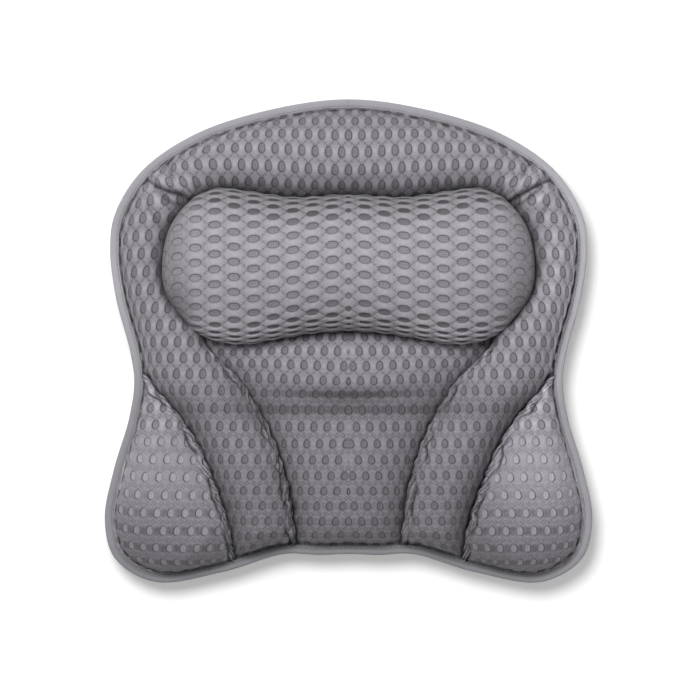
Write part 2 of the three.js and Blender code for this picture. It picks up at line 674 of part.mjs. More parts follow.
// The end of the webbing that is stitched flat to the back panel.
function tabAnchor() {
  const box = new THREE.BoxGeometry(TAB_WIDTH, ANCHOR_LENGTH, TAB_THICKNESS);
  return box.translate(0, TAB_FOLD_REACH + ANCHOR_LENGTH / 2, BACK_BOTTOM - REST_GAP - TAB_THICKNESS / 2);
}

const pillow = new THREE.Group();

pillow.add(meshOf("back_panel", rimPlate(TUCK, BACK_BOTTOM, BACK_TOP), meshCloth));
pillow.add(meshOf("edge_binding", edgeBinding(), tapeCloth));

const inArch = BOLSTER_CENTRE_Y + BOLSTER_DEPTH / 2 + FULL_RISE_WIDTH / 2;
const inShoulder = shoulderSeam.at(0.75).x + FULL_RISE_WIDTH / 2;
const pads = [
  ["arch", archPad(), areaAt(0, inArch)],
  ["centre", centrePad(), areaAt(0, CHANNEL_Y)],
  ["shoulder_left", shoulderPad(-1), areaAt(-inShoulder, shoulderSeam.at(0.75).y)],
  ["shoulder_right", shoulderPad(1), areaAt(inShoulder, shoulderSeam.at(0.75).y)],
];
for (const [name, pad, area] of pads) {
  pillow.add(meshOf(`${name}_cover`, pad.cover(area), meshCloth));
  pillow.add(meshOf(`${name}_filling`, pad.filling(area), foam));
}

const seatPanelBottom = SEAT_TOP - CLOTH;
pillow.add(meshOf("seat_panel", seatSlab(seatPanelBottom, SEAT_TOP), meshCloth));
pillow.add(meshOf("seat_filling", seatSlab(COVER_BOTTOM, seatPanelBottom - REST_GAP), foam));
pillow.add(meshOf("bolster_cover", bolsterCover(), meshCloth));
pillow.add(meshOf("bolster_filling", bolsterBlock(CLOTH + FILL_GAP), foam));

const cupSolid = suctionCup();
const tabSolid = cupTab();
const anchorSolid = solidOf(tabAnchor());
scaled(CUP_SHARES, halfWidth, halfHeight).forEach((place, i) => {
  const mount = new THREE.Group();
  mount.position.set(place.x, place.y, 0);
  mount.add(meshOf(`suction_cup_${i + 1}`, cupSolid, clearVinyl));
  mount.add(meshOf(`cup_tab_${i + 1}`, tabSolid, webbing));
  mount.add(meshOf(`tab_anchor_${i + 1}`, anchorSolid, webbing));
  pillow.add(mount);
});

export default pillow;
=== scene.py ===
import math

import bpy
import numpy as np
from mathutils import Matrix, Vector


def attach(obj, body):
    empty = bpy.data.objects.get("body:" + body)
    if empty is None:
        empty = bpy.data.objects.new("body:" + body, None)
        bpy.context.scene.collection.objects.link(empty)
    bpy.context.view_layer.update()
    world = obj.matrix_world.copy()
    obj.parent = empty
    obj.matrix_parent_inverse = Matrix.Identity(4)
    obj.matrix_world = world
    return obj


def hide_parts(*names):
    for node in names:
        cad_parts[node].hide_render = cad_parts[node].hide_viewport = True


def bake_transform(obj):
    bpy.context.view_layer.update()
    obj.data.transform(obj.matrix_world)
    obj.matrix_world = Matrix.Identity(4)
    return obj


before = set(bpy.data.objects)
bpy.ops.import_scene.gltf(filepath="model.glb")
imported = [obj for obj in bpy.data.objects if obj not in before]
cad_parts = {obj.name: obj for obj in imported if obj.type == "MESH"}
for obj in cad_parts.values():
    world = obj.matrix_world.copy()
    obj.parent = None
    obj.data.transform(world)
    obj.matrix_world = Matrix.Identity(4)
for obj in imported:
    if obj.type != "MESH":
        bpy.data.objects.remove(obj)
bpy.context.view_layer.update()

# Lengths are in millimetres until a mesh is made. The origin is on the floor, under the middle.
MM = 0.001
TINY = 1e-6

WIDTH = 390.0
HEIGHT = 386.0
BOLSTER_LENGTH = 297.0
BOLSTER_DEPTH = 124.0
BOLSTER_Y = 59.0
HEM_INSET = 6.9  # from the outline to the pads
RIM_INSET = 1.5  # from the bolster's outline to the arch's inner edge

# Heights
BACK_BOTTOM = 21.0
BACK_TOP = 22.5
BASE_BOTTOM = 22.9
HEM_TOP = 25.2
SEAM_TOP = 29.5
SEAT_TOP = 35.6
BOLSTER_BOTTOM = 36.6
BOLSTER_BELLY = 47.5
BOLSTER_TOP = 96.5
ARCH_RISE = 31.0
CENTRE_RISE = 22.5
SHOULDER_RISE = 27.0
FULL_RISE_WIDTH = 62.0  # a pad that is narrower than this rises less

# Two grooves lie side by side across the lower pads
CHANNEL_Y = -50
UPPER_GROOVE_Y = -45.5
LOWER_GROOVE_Y = -57
GROOVE_WIDTH = 5.4

# Mesh pattern: the pitch of its holes along and across its rows, and a hole's half sizes
PITCH_U = 10.6
PITCH_V = 14.3
HOLE_U = 2.4
HOLE_V = 4.15
HOLE_POWER = 2.4  # over 2, a hole is fuller than an ellipse
NET_SLOPE = PITCH_U / 4 / (PITCH_V / 2 - HOLE_V)  # of the lines that join the holes
EGG = 0.022  # how fast the base's holes narrow towards their upper ends, per millimetre
SHORTER = 0.2  # how much shorter the holes are below the second of these coordinates
SHORTER_FROM = -5.0
SHORTER_TO = -45.0

# How many points a surface has along and across, and how many steps a pad's first coarse grid has
ARCH_DENSITY = (900, 88)
CENTRE_DENSITY = (190, 210)
SHOULDER_DENSITY = (190, 110)
BOLSTER_DENSITY = (360, 260)
ARCH_GRID = (196, 14)
CENTRE_GRID = (44, 30)
SHOULDER_GRID = (40, 22)
OUTLINE_STEPS = 1440
RIM_STEPS = 1200
SEAM_STEPS = 300

OUTLINE_SHARES = [
    (0, 1), (0.338, 0.953), (0.636, 0.852), (0.849, 0.702), (0.959, 0.523), (0.978, 0.378),
    (0.954, 0.176), (0.897, -0.041), (0.879, -0.166), (0.9, -0.321), (0.964, -0.539), (1, -0.741),
    (0.959, -0.902), (0.795, -1), (0.518, -0.96), (0.262, -0.885), (0.123, -0.889), (0, -0.885),
]
BOLSTER_SHARES = [
    (0, 0.916), (0.304, 0.885), (0.568, 0.973), (0.696, 1), (0.834, 0.868), (0.957, 0.505),
    (1, 0), (0.979, -0.358), (0.907, -0.618), (0.834, -0.808), (0.747, -0.929), (0.581, -1),
    (0.385, -0.929), (0.204, -0.86), (0, -0.826),
]
BAND_SEAM_START_SHARE = 0.8
BAND_SEAM_SHARES = [
    (0.577, -0.026), (0.515, -0.096), (0.454, -0.153), (0.397, -0.238), (0.341, -0.337),
    (0.279, -0.479), (0.244, -0.622), (0.223, -0.751), (0.213, -0.87),
]
SHOULDER_SEAM_SHARES = [
    (0.856, -0.124), (0.785, -0.204), (0.727, -0.266), (0.632, -0.397), (0.557, -0.568),
    (0.495, -0.74), (0.463, -0.926),
]
CUP_SHARES = [
    (-0.49, 0.61), (0.49, 0.61), (-0.66, 0.04), (0, 0.1), (0.66, 0.04), (-0.72, -0.7), (0.72, -0.7),
]

# Folds from the bolster's upper corners to the binding, on the right: x0, y0, x1, y1, width, depth
CORNER_FOLDS = [
    (161, 129, 125, 109, 1.35, 4.2),
    (158, 136, 121, 115, 3.2, -2.4),
    (146, 145, 134, 120, 1.2, 1.7),
    (165, 121, 139, 101, 2.4, -1.8),
    (163, 112, 149, 92, 1.2, 1.6),
    (126, 126, 118, 112, 1.2, 2.4),
    (131, 132, 120, 119, 2.2, -1.2),
    (152, 119, 134, 106, 1.1, 2.0),
    (138, 126, 127, 116, 1.0, 1.8),
]


# Numbers

def ramp(a, b, x):
    """A smooth step from 0 at a to 1 at b."""
    t = np.clip((x - a) / (b - a), 0, 1)
    return t * t * (3 - 2 * t)


def bell(x, width):
    return np.exp(-((x / width) ** 2))


def waves(s, *terms):
    """Sum of sines of s, each given as (size, scale, phase)."""
    return sum(size * np.sin(s / scale + phase) for size, scale, phase in terms)


def phases(seed, count):
    return np.random.default_rng(seed).uniform(0, 2 * np.pi, count)


def with_third(values, third):
    """Pairs of values with a third one added to each."""
    return np.concatenate([values, np.broadcast_to(third, values.shape[:-1])[..., None]], -1)


def xy(points):
    return points[..., 0], points[..., 1]


def row_lengths(grid):
    """Distances along each row of a grid from its first point."""
    step = np.linalg.norm(np.diff(grid, axis=1), axis=2)
    return np.concatenate([np.zeros((len(grid), 1)), np.cumsum(step, 1)], 1)


def lengths(points):
    return row_lengths(points[None])[0]


# Curves

def catmull(points, closed, steps):
    """Points on the centripetal curve through the given points."""
    pts = np.array(points, float)
    n = len(pts)
    spans = n if closed else n - 1
    out = []
    for s in np.linspace(0, spans, steps + 1):
        i = min(int(s), spans - 1)
        w = s - i
        p1, p2 = pts[i], pts[(i + 1) % n]
        p0 = pts[i - 1] if closed or i > 0 else 2 * pts[0] - pts[1]
        p3 = pts[(i + 2) % n] if closed or i + 2 < n else 2 * pts[-1] - pts[-2]
        d0, d1, d2 = (max(np.linalg.norm(b - a), TINY) ** 0.5 for a, b in ((p0, p1), (p1, p2), (p2, p3)))
        t1 = d1 * ((p1 - p0) / d0 - (p2 - p0) / (d0 + d1) + (p2 - p1) / d1)
        t2 = d1 * ((p2 - p1) / d1 - (p3 - p1) / (d1 + d2) + (p3 - p2) / d2)
        cubic = 2 * (p1 - p2) + t1 + t2
        out.append(p1 + t1 * w + (3 * (p2 - p1) - 2 * t1 - t2) * w**2 + cubic * w**3)
    return np.array(out)


def tangents(points, closed=False):
    if closed:
        d = np.roll(points, -1, 0) - np.roll(points, 1, 0)
    else:
        d = np.gradient(points, axis=0)
    return d / np.linalg.norm(d, axis=1, keepdims=True)


def inward(loop):
    """Directions into a clockwise loop, square to it."""
    t = tangents(loop, True)
    return np.stack([t[:, 1], -t[:, 0]], 1)


def inset(loop, distance):
    return loop + distance * inward(loop)


def joined(loop):
    """A loop with its first point again at its end."""
    return np.concatenate([loop, loop[:1]])


def at_shares(points, shares):
    """Points at the given shares of a curve's length."""
    reach = lengths(points)
    places = np.asarray(shares) * reach[-1]
    return np.stack([np.interp(places, reach, column) for column in points.T], 1)


def nearest_share(points, place):
    reach = lengths(points)
    return reach[np.argmin(np.linalg.norm(points - place, axis=1))] / reach[-1]


def part_of(points, a, b):
    return at_shares(points, np.linspace(a, b, SEAM_STEPS))


def mirror(points):
    return points * [-1.0, 1.0]


def whole(right_half):
    return np.concatenate([mirror(right_half)[::-1], right_half[1:]])


def scaled(shares, width=WIDTH, height=HEIGHT, centre_y=0.0):
    """Places from shares of half a width and half a height."""
    return np.array([(x * width / 2, centre_y + y * height / 2) for x, y in shares])


def closed_curve(half, steps):
    return catmull(np.concatenate([half, mirror(half)[1:-1][::-1]]), True, steps)[:-1]


def edge_y(line, x, upper):
    """y of the upper or lower edge of a right half outline at the distances x."""
    widest = np.argmax(line[:, 0])
    run = line[: widest + 1] if upper else line[widest:][::-1]
    return np.interp(np.minimum(np.abs(x), run[-1, 0]), run[:, 0], run[:, 1])


def bolster_edges(x):
    """y of the bolster's upper and lower edge at the distances x."""
    return edge_y(bolster_line, x, True), edge_y(bolster_line, x, False)


outline = closed_curve(scaled(OUTLINE_SHARES), OUTLINE_STEPS)
hem = inset(outline, HEM_INSET)[: OUTLINE_STEPS // 2 + 1]
bolster_loop = closed_curve(scaled(BOLSTER_SHARES, BOLSTER_LENGTH, BOLSTER_DEPTH, BOLSTER_Y), RIM_STEPS)
rim = inset(bolster_loop, RIM_INSET)[: RIM_STEPS // 2 + 1]
bolster_line = bolster_loop[: RIM_STEPS // 2 + 1]

shoulder_points = scaled(SHOULDER_SEAM_SHARES)
shoulder_top, shoulder_bottom = (nearest_share(hem, shoulder_points[end]) for end in (0, -1))
shoulder_ends = at_shares(hem, [shoulder_top, shoulder_bottom])
shoulder_seam = catmull([shoulder_ends[0], *shoulder_points[1:-1], shoulder_ends[1]], False, SEAM_STEPS)

band_points = scaled(BAND_SEAM_SHARES)
band_start_x = BAND_SEAM_START_SHARE * BOLSTER_LENGTH / 2
band_start = nearest_share(rim, np.array([band_start_x, bolster_edges(band_start_x)[1]]))
band_bottom = nearest_share(hem, band_points[-1])
band_ends = (at_shares(rim, [band_start])[0], at_shares(hem, [band_bottom])[0])
band_seam = catmull([band_ends[0], *band_points[:-1], band_ends[1]], False, SEAM_STEPS)


# Pads

def spaced(count, fine_steps=6):
    """Shares from 0 to 1 whose steps shrink towards both ends."""
    step = np.ones(count)
    shrinking = 0.22 + 0.78 * (np.arange(fine_steps) / fine_steps) ** 1.2
    step[:fine_steps] = shrinking
    step[-fine_steps:] = shrinking[::-1]
    return np.concatenate([[0], np.cumsum(step)]) / step.sum()


def angle_shares(count):
    return (1 - np.cos(np.pi * np.arange(count + 1) / count)) / 2


def crown(f, power, first, second):
    """Height of a crown over its sewn edges; the smaller an exponent, the steeper it leaves that edge."""
    return np.maximum(0, 1 - np.abs(2 * f - 1) ** power) ** np.where(f < 0.5, first, second)


def taper(distance, reach):
    left = 1 - np.clip(distance / reach, 0, 1)
    return (1 - left**2) ** 0.62


class Pad:
    """A grid of points between two edges, with rows along and columns across."""

    def __init__(self, first, second, rows, columns):
        self.t = spaced(rows)
        self.f = angle_shares(columns)
        self.first = at_shares(first, self.t)
        self.second = at_shares(second, self.t)
        self.length = (lengths(first)[-1] + lengths(second)[-1]) / 2
        self.span = np.linalg.norm(self.second - self.first, axis=1)
        f = self.f[None, :, None]
        self.plan = self.first[:, None] * (1 - f) + self.second[:, None] * f

    def bend_end(self, end, line, reach=45.0):
        """Moves the rows near an end so that the last one lies on a line y(x)."""
        row = self.plan[0 if end == 0 else -1]
        x = self.plan[..., 0]
        a, b = row[0], row[-1]
        straight = a[1] + (b[1] - a[1]) * (x - a[0]) / (b[0] - a[0])
        near = np.clip(1 - np.abs(self.t - end) * self.length / reach, 0, 1)[:, None]
        self.plan[..., 1] += near**2 * (line(x) - straight)

    def raise_to(self, rise, edges, ends, power, steepness):
        """Fills out the pad: edges are its heights along both sides, ends are (height, reach) or None."""
        distance = self.t * self.length
        lift = np.ones_like(distance)
        floor = np.zeros_like(distance)
        for end, away in zip(ends, (distance, distance[-1] - distance)):
            if end:
                part = taper(away, end[1])
                floor = floor * part + end[0] * (1 - part)
                lift = lift * part
        first, second = (np.broadcast_to(edge, distance.shape)[:, None] for edge in edges)
        sides = first * (1 - self.f) + second * self.f
        z = floor[:, None] + lift[:, None] * (sides + rise * crown(self.f, power, *steepness))
        self.grid = with_third(self.plan, z)
        self.weave = self.unrolled()

    def unrolled(self):
        """Cloth coordinates: the plan, stretched along and across by how much longer the surface is."""
        g = self.grid
        mid = g.shape[1] // 2
        across = row_lengths(g)
        across -= across[:, mid:mid + 1]
        direction = (self.second - self.first) / np.maximum(self.span, TINY)[:, None]
        along = lengths(g[:, mid, :2])
        excess = lengths(g[:, mid]) - along
        excess -= np.interp(along[-1] / 2, along, excess)
        spine = g[:, mid, :2] + tangents(g[:, mid, :2]) * excess[:, None]
        return spine[:, None] + direction[:, None] * across[..., None]


def lower_where_narrow(rise, span, power=0.5):
    return (rise * np.minimum(1, span / FULL_RISE_WIDTH) ** power)[:, None]


def hem_y(x):
    return edge_y(hem, x, False)


def hem_x(y):
    """Distance of the pads' outer edge from the middle line at the heights y of the plan."""
    side = hem[: np.argmin(hem[:, 1]) + 1][::-1]
    return np.interp(y, side[:, 1], side[:, 0])


def tuck_y(x):
    """Where the centre pad ends under the bolster."""
    end = np.minimum(np.abs(x) / band_seam[0, 0], 1)
    return edge_y(rim, x, False) + 7.5 * (1 - end**4)


def channel(x, y, depth):
    """How deep the two grooves and the hollow that they lie in are."""
    wide = (0.3 + 0.2 * bell(x, 85)) * bell(y - CHANNEL_Y, 13.0)
    sagging = y - UPPER_GROOVE_Y - 5.5 * np.minimum(np.abs(x) / 62, 1.2) ** 2
    upper = (0.1 + 0.7 * bell(x, 48)) * bell(sagging, GROOVE_WIDTH)
    lower = (0.34 + 0.15 * bell(x, 80)) * bell(y - LOWER_GROOVE_Y, GROOVE_WIDTH)
    return depth * (wide + upper + lower) * (1 - 0.4 * ramp(70, 105, np.abs(x)))


def arch_pad():
    inner = whole(np.concatenate([part_of(rim, 0, band_start), band_seam[1:]]))
    outer = whole(np.concatenate([part_of(hem, 0, shoulder_top), shoulder_seam[1:]]))
    pad = Pad(inner, outer, *ARCH_GRID)
    for end in (0, 1):
        pad.bend_end(end, hem_y)
    side = np.abs(pad.t - 0.5)
    seam_share = lengths(rim)[-1] * band_start / lengths(inner)[-1]
    apex_share = lengths(hem)[-1] * shoulder_top / lengths(outer)[-1]
    past_bolster = ramp(seam_share - 0.01, seam_share + 0.05, side)
    by_bolster = 36.5 + 6.5 * ramp(60, 125, np.abs(pad.first[:, 0]))
    inner_edge = by_bolster * (1 - past_bolster) + SEAM_TOP * past_bolster
    outer_edge = HEM_TOP + (SEAM_TOP - HEM_TOP) * ramp(apex_share, apex_share + 0.03, side)
    rise = lower_where_narrow(ARCH_RISE, pad.span) - channel(*xy(pad.plan), 2.5)
    rise = rise - 0.75 * (inner_edge[:, None] - SEAM_TOP) * (1 - pad.f) ** 0.5
    beside = 0.78 - 0.16 * ramp(70, 120, np.abs(pad.first[:, 0]))
    steep = np.where(past_bolster > 0, 0.5, beside)[:, None]
    pad.raise_to(rise, (inner_edge, outer_edge), ((HEM_TOP, 22.0), (HEM_TOP, 22.0)), 2.3, (steep, 0.72))
    return pad


def centre_pad():
    right = band_seam[::-1]
    pad = Pad(mirror(right), right, *CENTRE_GRID)
    pad.bend_end(0, hem_y)
    pad.bend_end(1, tuck_y)
    x, y = xy(pad.plan)
    slope = np.clip((y + 175) / 110, 0, 1)
    rise = CENTRE_RISE * (0.84 + 0.16 * slope) - channel(x, y, 5.0)
    pad.raise_to(rise, (SEAM_TOP, SEAM_TOP), ((HEM_TOP, 24.0), (31.0, 30.0)), 2.6, (0.84, 0.84))
    return pad


def shoulder_pad():
    edge = part_of(hem, shoulder_top, shoulder_bottom)
    pad = Pad(shoulder_seam, edge, *SHOULDER_GRID)
    distance = pad.t * pad.length
    from_tip = np.minimum(distance, distance[-1] - distance)
    seam_edge = HEM_TOP + (SEAM_TOP - HEM_TOP) * ramp(0, 26, from_tip)
    rise = lower_where_narrow(SHOULDER_RISE, pad.span, 0.75)
    pad.raise_to(rise, (seam_edge, HEM_TOP), (None, None), 2.3, (0.5, 0.72))
    return pad


# Meshes

def add_object(name, data):
    obj = bpy.data.objects.new(name, data)
    bpy.context.scene.collection.objects.link(obj)
    return obj


def set_vectors(mesh, key, values):
    attribute = mesh.attributes.get(key) or mesh.attributes.new(key, "FLOAT_VECTOR", "POINT")
    attribute.data.foreach_set("vector", np.asarray(values, np.float32).ravel())


def new_object(name, points, faces, material, smooth=True, **vectors):
    """An object with the points in millimetres; vectors are attributes of its points."""
    mesh = bpy.data.meshes.new(name)
    mesh.from_pydata(np.reshape(points, (-1, 3)) * MM, [], faces, shade_flat=not smooth)
    for key, values in vectors.items():
        set_vectors(mesh, key, values)
    mesh.validate()
    mesh.materials.append(material)
    return add_object(name, mesh)


def grid_faces(n, m, flip=False, close_rows=False, close_columns=False):
    i = np.arange(n if close_rows else n - 1)
    j = np.arange(m if close_columns else m - 1)
    i, j = np.meshgrid(i, j, indexing="ij")
    i2, j2 = (i + 1) % n, (j + 1) % m
    q = np.stack([i * m + j, i2 * m + j, i2 * m + j2, i * m + j2], -1).reshape(-1, 4)
    return (q[:, ::-1] if flip else q).tolist()


def moved_faces(faces, offset):
    return [[k + offset for k in face] for face in faces]


def both_sides(faces, offset):
    """The faces, and the same ones turned over on the points that come offset later."""
    return faces + moved_faces([face[::-1] for face in faces], offset)


def walls(first, second, flip=False):
    """Faces between two loops of points."""
    quads = np.stack([first, second, np.roll(second, -1), np.roll(first, -1)], 1)
    return (quads[:, ::-1] if flip else quads).tolist()


def fan(ring, tip, flip=False):
    """Triangles from a ring of points to its middle."""
    pairs = zip(ring, np.roll(ring, -1))
    return [[b, a, tip] if flip else [a, b, tip] for a, b in pairs]


def border(n, m):
    """The points round the edge of a grid, in order."""
    sides = (
        np.arange(n) * m,
        (n - 1) * m + np.arange(1, m),
        np.arange(n - 2, -1, -1) * m + m - 1,
        np.arange(m - 2, 0, -1),
    )
    return np.concatenate(sides)


def looks_down(grid):
    """Whether a grid's faces look down unless they are flipped."""
    i, j = grid.shape[0] // 2, grid.shape[1] // 2
    return np.cross(grid[i + 1, j] - grid[i, j], grid[i, j + 1] - grid[i, j])[2] < 0


def closed_pad(name, grid, weave, mood):
    """A pad's dense top with walls and a flat underside."""
    n, m = grid.shape[:2]
    flip = looks_down(grid)
    loop = border(n, m)
    ring = np.arange(len(loop)) + n * m
    faces = grid_faces(n, m, flip) + walls(loop, ring, flip)
    faces.append((ring if flip else ring[::-1]).tolist())
    flat = [values.reshape(-1, 3) for values in (grid, weave, mood)]
    points, weave, mood = (np.concatenate([values, values[loop]]) for values in flat)
    points[n * m:, 2] = BASE_BOTTOM
    return new_object(name, points, faces, cover_cloth, weave=weave, mood=mood)


# Cloth simulation

CLOTH_FRAMES = 20
CLOTH_CAP = 3.0  # how far a point may move
CLOTH_HELD = 9.0  # how far from its edges a pad is held back
CLOTH_SETTINGS = {
    "quality": 6, "mass": 0.2, "tension_stiffness": 12, "compression_stiffness": 12,
    "shear_stiffness": 4, "bending_stiffness": 0.3, "use_pressure": True,
    "uniform_pressure_force": 0.5, "shrink_min": 0.012, "vertex_group_mass": "sewn",
}


def edge_distance(grid):
    """Distances over the surface from both long edges."""
    one = row_lengths(grid)
    return one, one[:, -1:] - one


def simulate(grids):
    """Runs Blender's cloth on the grids at once, sewn down along their edges, and returns them filled out."""
    points, faces, pinned = [], [], []
    for grid in grids:
        start = len(points)
        points.extend(grid.reshape(-1, 3) * MM)
        faces.extend(moved_faces(grid_faces(*grid.shape[:2], looks_down(grid)), start))
        pinned.extend((np.sort(border(*grid.shape[:2])) + start).tolist())
    mesh = bpy.data.meshes.new("cloth_work")
    mesh.from_pydata(points, [], faces)
    work = add_object("cloth_work", mesh)
    work.vertex_groups.new(name="sewn").add(pinned, 1.0, "REPLACE")
    cloth = work.modifiers.new("cloth", "CLOTH")
    for key, value in CLOTH_SETTINGS.items():
        setattr(cloth.settings, key, value)
    cloth.settings.effector_weights.gravity = 0
    cloth.collision_settings.use_collision = False
    cloth.collision_settings.use_self_collision = False
    cloth.point_cache.frame_start = 1
    cloth.point_cache.frame_end = CLOTH_FRAMES
    for number in range(1, CLOTH_FRAMES + 1):
        bpy.context.scene.frame_set(number)
    shape = work.evaluated_get(bpy.context.evaluated_depsgraph_get()).to_mesh()
    co = np.zeros(len(points) * 3)
    shape.vertices.foreach_get("co", co)
    co = co.reshape(-1, 3) / MM
    bpy.data.objects.remove(work)
    bpy.context.scene.frame_set(1)
    filled, start = [], 0
    for grid in grids:
        count = grid.shape[0] * grid.shape[1]
        moved = co[start:start + count].reshape(grid.shape) - grid
        far = np.linalg.norm(moved, axis=2, keepdims=True)
        held = ramp(0, CLOTH_HELD, np.minimum(*edge_distance(grid)))[..., None]
        filled.append(grid + moved * held * np.minimum(1, CLOTH_CAP / np.maximum(far, TINY)))
        start += count
    return filled


# Dense surfaces

def upsampled(values, count, axis):
    """Values resampled along an axis by a smooth curve through them."""
    values = np.moveaxis(values, axis, 0)
    n = len(values)
    s = np.linspace(0, n - 1, count)
    i = np.clip(s.astype(int), 0, n - 2)
    w = (s - i).reshape(-1, *([1] * (values.ndim - 1)))
    p1, p2 = values[i], values[i + 1]
    p0 = np.where((i > 0).reshape(w.shape), values[np.maximum(i - 1, 0)], 2 * p1 - p2)
    p3 = np.where((i < n - 2).reshape(w.shape), values[np.minimum(i + 2, n - 1)], 2 * p2 - p1)
    a = 0.5 * (p2 - p0)
    b = 0.5 * (p3 - p1)
    out = p1 + a * w + (3 * (p2 - p1) - 2 * a - b) * w**2 + (2 * (p1 - p2) + a + b) * w**3
    return np.moveaxis(out, 0, axis)


def fine(values, rows, columns):
    return upsampled(upsampled(values, rows, 0), columns, 1)


def unit(vectors):
    return vectors / np.maximum(np.linalg.norm(vectors, axis=2, keepdims=True), TINY)


def normals(grid):
    n = unit(np.cross(np.gradient(grid, axis=0), np.gradient(grid, axis=1)))
    return -n if n[n.shape[0] // 2, n.shape[1] // 2, 2] < 0 else n


def weave_relief(u, v, egg=0.0):
    """How far the mesh cloth stands out, in millimetres, at its own coordinates."""
    row = np.floor(v / PITCH_V + 0.5)
    a = u / PITCH_U + 0.5 * np.mod(row, 2)
    a = (a - np.floor(a + 0.5)) * PITCH_U
    b = (v - row * PITCH_V) * (1 + SHORTER * ramp(SHORTER_FROM, SHORTER_TO, v))
    across = (np.abs(a) * (1 + egg * b) / HOLE_U) ** HOLE_POWER
    r = (across + (np.abs(b) / HOLE_V) ** HOLE_POWER) ** (1 / HOLE_POWER)
    hole = 1 - ramp(0.55, 1.2, r)
    pillar = (1 - np.cos(2 * np.pi * a / PITCH_U)) * (1 + np.cos(2 * np.pi * b / PITCH_V)) / 4
    net = bell(np.abs(a) - (np.abs(b) - HOLE_V) * NET_SLOPE, 1.0) * ramp(3.9, 4.8, np.abs(b))
    return -0.95 * hole + 0.8 * pillar - 0.3 * net


# Edges: how cloth is pushed, and the painted shade and light put on it, at distances d from an edge and s
# along it, most where low is 1

def bulges(s, pitch, seed):
    """An uneven row of rounded bulges with sharp tucks between them, from -1 to 1."""
    p = phases(seed, 5)
    phase = s / pitch + waves(s, (0.22, 17, p[0]), (0.16, 7.3, p[1]))
    size = 0.75 + waves(s, (0.25, 29, p[2]), (0.2, 11, p[3]))
    return (2 * np.abs(np.sin(np.pi * phase)) ** 0.7 - 1) * size


def over_edge(d, s, seed, low):
    """Cloth that bulges over a seam: a wavy groove beside the seam, and slanted tucks between the two, with
    painted shade in the groove, in the tucks and at the seam, and painted light on the strands between the
    tucks and a little way out from the groove.
    """
    p = phases(seed, 8)
    line = 4.4 + 1.4 * low + waves(s, (1.1, 4.1, p[0]), (0.9, 9.7, p[1]), (0.5, 2.2, p[5]))
    groove = bell(d - line, 0.85) * np.clip(0.45 + 0.35 * low + waves(s, (0.55, 7.5, p[2])), 0, 1)
    turn = (s + 4.2 * d) / 9.0 + waves(s, (0.4, 10, p[3]), (0.25, 4.4, 0.5 * d + p[6]))
    inside = ramp(0, 1.6, line + 0.8 - d)
    apart = turn - np.round(turn)
    tuck = bell(apart, 0.16) * inside * np.clip(0.7 + 0.2 * low + waves(s, (0.55, 5.3, p[4])), 0, 1)
    strand = (1 - bell(apart, 0.25)) * inside * ramp(0.8, 2.0, d)
    wide = 0.9 * bulges(s + 1.2 * d, 9.5, seed) * ramp(0, 3, d) * bell(d, 9)
    push = wide - 1.2 * groove - 1.5 * tuck + 0.9 * inside * ramp(0.1, 0.8, d)
    # Painted shade in the groove, the tucks and at the seam, and painted light on the strands and beyond the
    # groove
    dim = 0.95 * groove + (0.92 * tuck - 0.26 * strand * (1 - tuck)) * (1 - groove)
    dim = dim + 0.3 * low * bell(d, 4.0) * (1 - strand) + 0.5 * bell(d, 0.6) * (1 - tuck)
    return push, dim - 0.1 * bell(d - 6, 4)


def under_edge(d, s, seed, low):
    """Cloth on a seam's other side, which dips to it, with painted shade along the seam, in its tucks and a
    little way out.
    """
    p = phases(seed + 30, 3)
    push = 0.35 * bulges(s - 0.8 * d, 8.0, seed) * ramp(0, 2, d) * bell(d, 6)
    width = 1.2 + 1.3 * low + 0.8 * np.clip(bulges(s, 7.0, seed + 3), -0.8, 1) + waves(s, (0.5, 2.7, p[0]))
    turn = (s - 4.0 * d) / 8.0 + waves(s, (0.35, 6, p[1]))
    tuck = 0.4 * low * bell(turn - np.round(turn), 0.1) * ramp(0, 2, 3 + 1.5 * low - d)
    # Painted shade along the seam and in its tucks
    dark = np.maximum((0.6 + 0.2 * low) * bell(d, np.maximum(width, 0.5)), tuck)
    return push - tuck, dark + 0.16 * bell(d, 8.0) * (1 - dark)


def hem_edge(d, s, seed, low):
    """Cloth along the binding. Painted shadow in dashes at even steps stands for where a long stitch pulls it
    down; a painted highlight lies on a lip beside them, strongest lower down, and near the binding painted
    shade turns to painted light lower down.
    """
    pitch = 12.8
    p = phases(seed + 70, 3)
    turn = s / pitch + waves(s, (0.12, 31, p[0]), (0.06, 12, p[1]))
    apart = np.abs(turn - np.round(turn)) * pitch
    dash = 1 - ramp(2.6, 4.2, apart)
    line = 1.9 + 0.7 * low + waves(s, (0.3, 8, p[2])) - 0.5 * (apart / 4.0) ** 2
    near = bell(d - line, 1.05)
    lip = bell(d - line + 1.5, 0.85) * (1 - near)
    push = 0.3 * bulges(s, 6.4, seed + 50) * ramp(2, 4.5, d) * bell(d, 4)
    high = np.maximum(0.2 + waves(s, (0.32, 3.7, p[0])) + 0.75 * dash, 0)
    # Painted shadow in the dashes and along their line, and a painted highlight on the lip
    dim = near * (high * (1 - low) + (1.25 * dash - 0.2) * low) - (0.05 + (0.6 + 0.5 * dash) * low) * lip
    return push, dim + (0.12 - 0.2 * low) * bell(d, 7.0)


def bottom_hem_edge(d, s, seed, low):
    """The same where the binding crosses the bands and the centre, with the painted shadow of its stitches
    and its other painted marks much weaker.
    """
    push, dim = hem_edge(d, s, seed, 0 * low)
    return push, 0.4 * dim


def rim_edge(d, s, seed, low):
    """Cloth beside the bolster, which shades it."""
    return 0 * d, 0.35 * bell(d, 3.6) + 0.52 * bell(d, 14.0)


